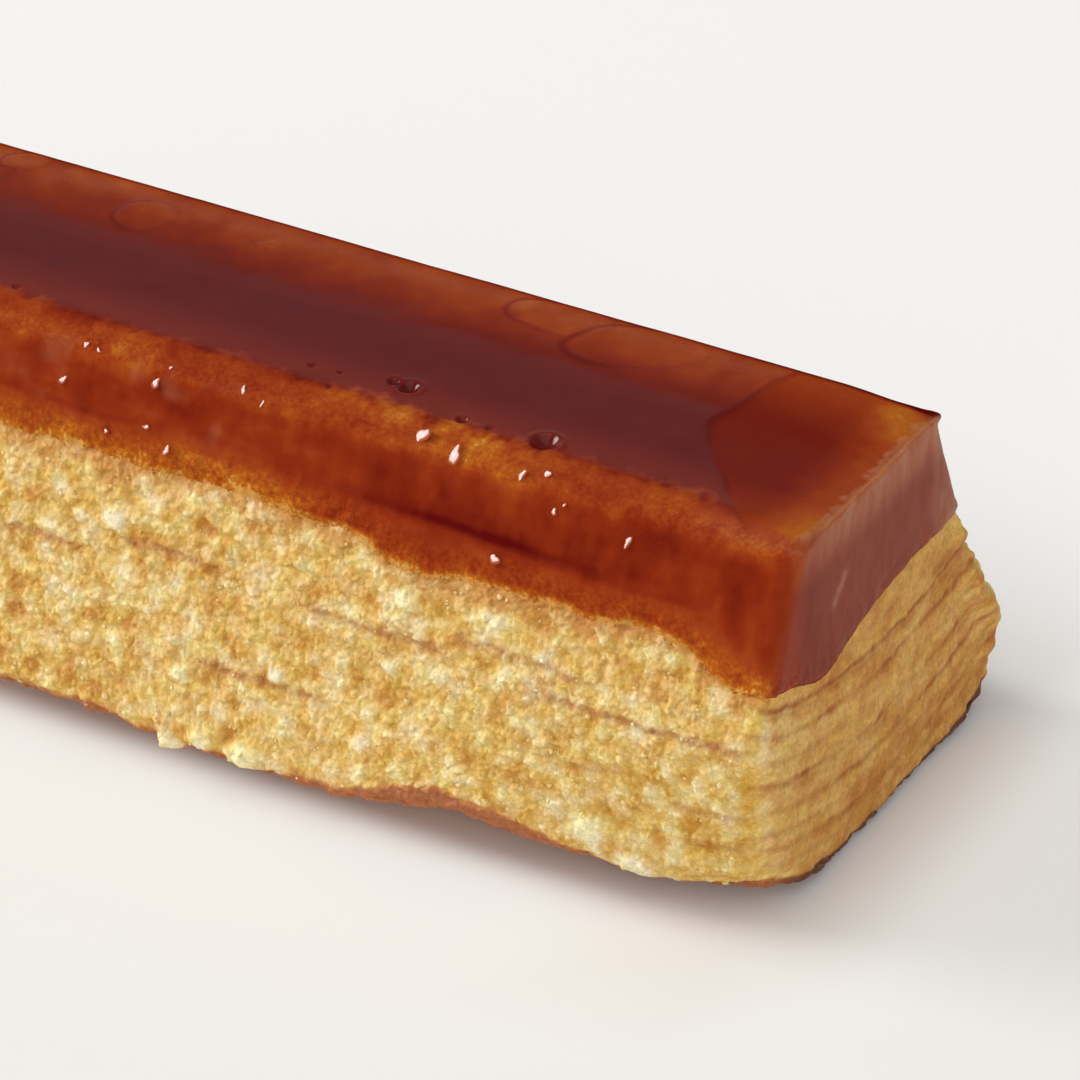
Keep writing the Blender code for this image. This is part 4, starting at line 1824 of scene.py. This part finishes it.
@dataclass
class Beads:
    """The beads on the front's upper edge and side, low domes turned to the light."""

    form: BarForm
    beads: tuple[Bead, ...] = (
        Bead(15.6, 36.2, 0.75, 0.95),
        Bead(19.3, 35.8, 0.60, 1.00),
        Bead(25.9, 35.8, 0.42, 0.50),
        Bead(28.0, 36.2, 0.36, 0.45),
        Bead(29.7, 34.0, 0.32, 0.32),
        Bead(30.5, 34.7, 0.18, 0.18),
        Bead(25.1, 29.0, 0.60, 0.50),
        Bead(-10.4, 34.7, 0.55, 0.55),
        Bead(-9.5, 35.9, 0.25, 0.25),
        Bead(-2.0, 35.8, 0.30, 0.60),
        Bead(0.2, 35.4, 0.30, 0.35),
        Bead(-18.2, 35.8, 0.30, 0.40),
        Bead(-16.8, 35.7, 0.40, 0.22),
        Bead(-10.5, 31.0, 0.45, 0.25),
        Bead(-14.4, 29.7, 0.22, 0.22),
        Bead(-8.1, 29.6, 0.45, 0.45),
        Bead(-19.6, 32.8, 0.40, 0.55),
        Bead(37.0, 33.5, 0.35, 0.65),
    )
    facing: tuple[float, float, float] = (-0.29, -0.68, 0.67)
    rise: float = 0.16
    root: float = 0.8
    out: float = 0.14
    upright_out: float = 0.42
    edge: float = 1.9
    wobble: float = 0.20
    around: int = 28
    rings: int = 9

    def seats(self, x: Array, z: Array) -> Array:
        """Give each bead's middle on the caramel's face.

        Where the upper edge is rounded, a seat is drawn in by the edge's radius less the
        quarter circle's reach at its height. On the upright face a seat stands further out.

        Args:
            x: the beads' places along the bar.
            z: their heights.

        Returns:
            The seats, one row each.
        """
        into = np.clip((z - self.form.height) / self.edge + 1.0, 0.0, 1.0)
        inset = self.edge * (1.0 - np.sqrt(1.0 - into * into))
        out = self.out + (self.upright_out - self.out) * smooth(0.9, 0.25, into)
        reach = self.form.reach_across(x, z, np.ones(len(x), dtype=bool))
        return np.column_stack((x, inset - reach - out, z))

    def build(self, material: bpy.types.Material) -> bpy.types.Object:
        """Build every bead as a closed low dome.

        A dome is half an ellipsoid over a point that is rooted in the cap, and all domes share
        one grid of angle and ring. Two waves round the dome make its outline uneven, and every
        dome is turned to face one way.

        Args:
            material: the bead's finish.

        Returns:
            The piece.
        """
        angle = np.linspace(0.0, 2.0 * np.pi, self.around, endpoint=False)
        turn = np.linspace(0.0, 0.5 * np.pi, self.rings)[:-1]
        across = np.append(np.outer(np.cos(turn), np.cos(angle)).ravel(), (0.0, 0.0))
        upward = np.append(np.outer(np.cos(turn), np.sin(angle)).ravel(), (0.0, 0.0))
        outer = self.rise * np.append(np.repeat(np.sin(turn), self.around), (1.0, 0.0))
        rooted = np.append(np.zeros(len(outer) - 1), self.root)
        crown = len(turn) * self.around
        quads = belt_faces(len(turn), self.around)
        fans = belt_fans(len(turn), self.around, crown + 1, crown)
        x, z, wide, tall = np.array([(bead.x, bead.z, bead.wide, bead.tall) for bead in self.beads]).T
        axis = np.array(self.facing) / np.linalg.norm(self.facing)
        side = np.cross((0.0, 0.0, 1.0), axis)
        side = side / np.linalg.norm(side)
        above = np.cross(axis, side)
        bearing = np.append(np.tile(angle, len(turn)), (0.0, 0.0))
        own = 2.4 * np.arange(len(x))[:, None]
        swell = 1.0 + self.wobble * (np.sin(2.0 * bearing + own) + 0.7 * np.sin(3.0 * bearing - 1.7 * own))
        places = self.seats(x, z)[:, None, :] + (wide[:, None] * swell * across)[..., None] * side
        places = places + (tall[:, None] * swell * upward)[..., None] * above
        places = places + (wide[:, None] * outer - rooted)[..., None] * axis
        step = (np.arange(len(x)) * len(outer))[:, None, None]
        quads, fans = (quads + step).reshape(-1, 4), (fans + step).reshape(-1, 3)
        mesh = set_mesh("caramel_beads", places.reshape(-1, 3), quads, fans)
        set_marks(mesh, {"thin": 0.7, "torn": 0.0, "gloss": 1.0, "haze": 0.0, "grain": 0.0})
        return add_piece(mesh, material)


@dataclass
class LooseCrumbs:
    """Small crumbs that cling to the torn sides, each a rough twenty-sided lump."""

    form: BarForm
    seed: int = 5
    count: int = 1500
    smallest: float = 0.09
    largest: float = 0.30

    def lump(self) -> tuple[Array, Array]:
        """Give the points and triangles of a regular twenty-sided lump of radius 1."""
        golden = (1.0 + math.sqrt(5.0)) / 2.0
        points = []
        for near in (-1.0, 1.0):
            for far in (-golden, golden):
                points += [(0.0, near, far), (near, far, 0.0), (far, 0.0, near)]
        places = np.array(points) / math.hypot(1.0, golden)
        gaps = np.linalg.norm(places[:, None] - places[None], axis=2)
        joined = (gaps > 0.1) & (gaps < 1.2)
        faces = []
        for one, two, three in zip(*np.nonzero(joined[:, :, None] & joined[:, None] & joined[None])):
            if one < two and one < three:
                turn = np.dot(np.cross(places[two], places[three]), places[one])
                if turn > 0.0 and [one, two, three] not in faces:
                    faces.append([one, two, three])
        return places, np.array(faces)

    def build(self, material: bpy.types.Material) -> bpy.types.Object:
        """Scatter the crumbs over the two long sides.

        Each takes a random place on its side, a random size and stretch, and its middle stands
        out of the torn crumb by a tenth of its size.

        Args:
            material: the loose crumb's finish.

        Returns:
            The piece.
        """
        dice = np.random.default_rng(self.seed)
        points, faces = self.lump()
        run = dice.uniform(-0.97, 0.97, self.count)
        share = dice.beta(0.9, 1.1, self.count)
        front = dice.random(self.count) < 0.6
        a, b = np.where(front, run, -run), np.where(front, -1.0, 1.0)

        def height(x: Array, y: Array) -> Array:
            """Give each crumb its share of the way from over the foot to under the rim."""
            low = self.form.underside(y) + 0.8 + 2.6 * bell(x, 24.0, 9.0) * (y < 0.0)
            return low + share * (self.form.rim(x, y) - 0.8 - low)

        seats, outward = self.form.stand(a, b, height)
        torn = self.form.tornness(seats, outward)
        relief = self.form.crumb_relief(seats, torn) + CrumbPattern(self.form).lump_share(seats, torn, True)
        size = self.smallest + (self.largest - self.smallest) * dice.random(self.count) ** 3
        seats = self.form.settle(seats + outward * (relief + 0.1 * size)[:, None])
        stretch = dice.uniform(0.6, 1.3, (self.count, 1, 3))
        rough = dice.uniform(0.6, 1.3, (self.count, len(points), 1))
        places = seats[:, None] + size[:, None, None] * stretch * rough * points[None]
        step = (np.arange(self.count) * len(points))[:, None, None]
        triangles = (faces[None] + step).reshape(-1, 3)
        mesh = set_mesh("loose_crumbs", places.reshape(-1, 3), np.empty((0, 4), int), triangles)
        mesh.polygons.foreach_set("use_smooth", np.zeros(len(mesh.polygons), dtype=bool))
        set_marks(mesh, {"torn": 1.0, "long": 1.0, "relief": 0.1} | PLAIN)
        return add_piece(mesh, material)


@dataclass(frozen=True)
class FloorFinish:
    """Finish of the pale floor: matt, with a painted glow of its own that fills shadows in front,
    past the right end and behind, kept low near the bar so the shadow there stays dark.

    Its places and reaches are in metres, as the object's coordinates are.
    """

    name: str = "Floor"
    shaded: Colour = (0.86, 0.85, 0.83)
    open_floor: Colour = (0.395, 0.392, 0.385)
    shaded_glow: Colour = (0.015, 0.013, 0.012)
    open_glow: Colour = (0.500, 0.487, 0.462)
    behind_glow: Colour = (0.08, 0.085, 0.095)
    front_fade: tuple[float, float] = (-0.0185, -0.0235)
    front_stop: tuple[float, float] = (0.048, 0.030)
    behind_fade: tuple[float, float] = (0.012, 0.07)
    behind_open: float = 0.6
    right_edge: float = 0.051
    front_edge: float = -0.022
    right_rate: float = 1.6
    open_reach: float = 0.022

    def build(self) -> bpy.types.Material:
        """Build the material: colour and painted glow trade places in front, past the right end and behind.
        """
        material, wiring, surface = new_material(self.name)
        x, y, _ = wiring.axes("Object")
        front = wiring.times(wiring.span(y, *self.front_fade), wiring.span(x, *self.front_stop))
        right = wiring.math("MAXIMUM", wiring.minus(x, self.right_edge), 0.0)
        before = wiring.math("MAXIMUM", wiring.minus(self.front_edge, y), 0.0)
        away = wiring.span(wiring.times_plus(right, self.right_rate, before), 0.0, self.open_reach)
        behind = wiring.span(y, *self.behind_fade)
        share = wiring.math("MAXIMUM", front, away)
        share = wiring.math("MAXIMUM", share, wiring.times(behind, self.behind_open))
        # Painted light: the floor glows where shadows should stay thin, and hardly at all near the bar.
        painted_glow = wiring.mix(share, self.shaded_glow, self.open_glow)
        wiring.fill(surface, {
            "Base Color": wiring.mix(share, self.shaded, self.open_floor),
            "Emission Color": wiring.mix(behind, painted_glow, self.behind_glow, "ADD"),
            "Emission Strength": 1.0,
            "Roughness": 0.6,
            "Specular IOR Level": 0.2,
        })
        return material


@dataclass(frozen=True)
class Lamp:
    """A square soft light aimed at the bar. A spark lights glossy surfaces only."""

    name: str
    place: Spot
    size: float
    power: float
    colour: Colour
    spark: bool = False


@dataclass
class Studio:
    """The plain pale floor, the soft light and the camera at the photograph's angle."""

    camera_place: Spot = (0.2436, -0.3887, 0.2980)
    camera_aim: Spot = (0.0075, 0.0202, 0.0049)
    lens: float = 200.0
    lamps: tuple[Lamp, ...] = (
        Lamp("key", (-2.52, -0.66, 1.50), 1.5, 59.0, (1.0, 0.985, 0.96)),
        Lamp("spark", (-2.52, -0.66, 1.50), 1.0, 230.0, (1.0, 0.99, 0.97), spark=True),
        Lamp("fill", (2.55, -1.35, 0.90), 1.8, 11.0, (1.0, 0.99, 0.98)),
    )
    lamp_aim: Spot = (0.0, 0.0, 0.015)
    front_sky: tuple[tuple[float, Colour], ...] = (
        (0.02, (0.20, 0.20, 0.20)),
        (0.20, (1.0, 1.0, 1.0)),
        (1.0, (1.0, 1.0, 1.0)),
    )
    back_sky: tuple[tuple[float, Colour], ...] = (
        (0.0, (0.22, 0.22, 0.23)),
        (0.40, (0.24, 0.24, 0.25)),
        (0.535, (0.21, 0.21, 0.22)),
        (0.57, (0.10, 0.10, 0.10)),
        (1.0, (0.35, 0.35, 0.35)),
    )
    dark_band_x: float = 0.45
    sky_strength: float = 1.05
    floor_corners: tuple[Spot, ...] = (
        (-2.0, -0.35, 0.0), (3.0, -0.35, 0.0), (3.0, 5.0, 0.0), (-2.0, 5.0, 0.0))

    def add(self, name: str, data: bpy.types.ID) -> bpy.types.Object:
        """Put a mesh, a light or a camera into the scene."""
        item = bpy.data.objects.new(name, data)
        bpy.context.scene.collection.objects.link(item)
        return item

    def aim(self, item: bpy.types.Object, place: Spot, target: Spot) -> None:
        """Put an item at a place with its -Z towards a target."""
        item.location = place
        item.rotation_euler = (Vector(target) - Vector(place)).to_track_quat("-Z", "Y").to_euler()

    def add_floor(self) -> None:
        """Add the floor as one square face."""
        mesh = bpy.data.meshes.new("floor")
        mesh.from_pydata(self.floor_corners, [], [(0, 1, 2, 3)])
        mesh.materials.append(FloorFinish().build())
        floor = self.add("floor", mesh)

    def add_sky(self) -> None:
        """Light the scene from all round: bright in front, dim behind and in a band at the left."""
        world = bpy.data.worlds.new("Studio")
        world.use_nodes = True
        wiring = Wiring(world.node_tree)
        x, y, z = wiring.axes("Generated")
        front, back = wiring.ramp(z, self.front_sky), wiring.ramp(z, self.back_sky)
        off = wiring.math("ABSOLUTE", wiring.plus(x, self.dark_band_x))
        sky = wiring.mix(wiring.span(y, -0.12, 0.12), front, back)
        sky = wiring.mix(wiring.span(off, 0.20, 0.12), sky, back)
        wiring.fill(world.node_tree.nodes["Background"], {"Color": sky, "Strength": self.sky_strength})
        bpy.context.scene.world = world

    def add_lamp(self, lamp: Lamp) -> None:
        """Add one lamp, aimed at the bar.

        Args:
            lamp: its place, size, power and colour.
        """
        light = bpy.data.lights.new(lamp.name, "AREA")
        light.size = lamp.size
        light.energy = lamp.power
        light.color = lamp.colour
        item = self.add(lamp.name, light)
        item.visible_diffuse = not lamp.spark
        self.aim(item, lamp.place, self.lamp_aim)

    def build(self) -> None:
        """Add the floor, the sky, the lamps and the camera."""
        self.add_floor()
        self.add_sky()
        for lamp in self.lamps:
            self.add_lamp(lamp)
        camera = bpy.data.cameras.new("camera")
        camera.lens = self.lens
        camera.clip_start = 0.01
        item = self.add("camera", camera)
        self.aim(item, self.camera_place, self.camera_aim)
        bpy.context.scene.camera = item
        bpy.context.scene.view_settings.view_transform = "Standard"


def main() -> None:
    """Build every piece of the bar in order, then the studio round it."""
    logging.basicConfig(level=logging.INFO)
    form = BarForm()
    build_crumb_group()
    sponge = SpongeFinish().build()
    crumbs = SpongeFinish(name="Loose crumb", paler=0.12).build()
    caramel = CaramelFinish().build()
    CakeCore(form).build(sponge)
    for side, name, start, stop, columns in (
        (Side.FRONT, "crumb_front_left", -1.0, 0.0, 500),
        (Side.FRONT, "crumb_front_right", 0.0, 1.0, 500),
        (Side.RIGHT, "crumb_right_end", -1.0, 1.0, 360),
        (Side.BACK, "crumb_back", -1.0, 1.0, 510),
        (Side.LEFT, "crumb_left_end", -1.0, 1.0, 360),
    ):
        CrumbWall(form, side, name, start, stop, columns).build(sponge)
    BrownedSkin(form).build(SkinFinish().build())
    CaramelCap(form).build(caramel)
    Beads(form).build(caramel)
    LooseCrumbs(form).build(crumbs)
    Studio().build()


if __name__ == "__main__":
    main()
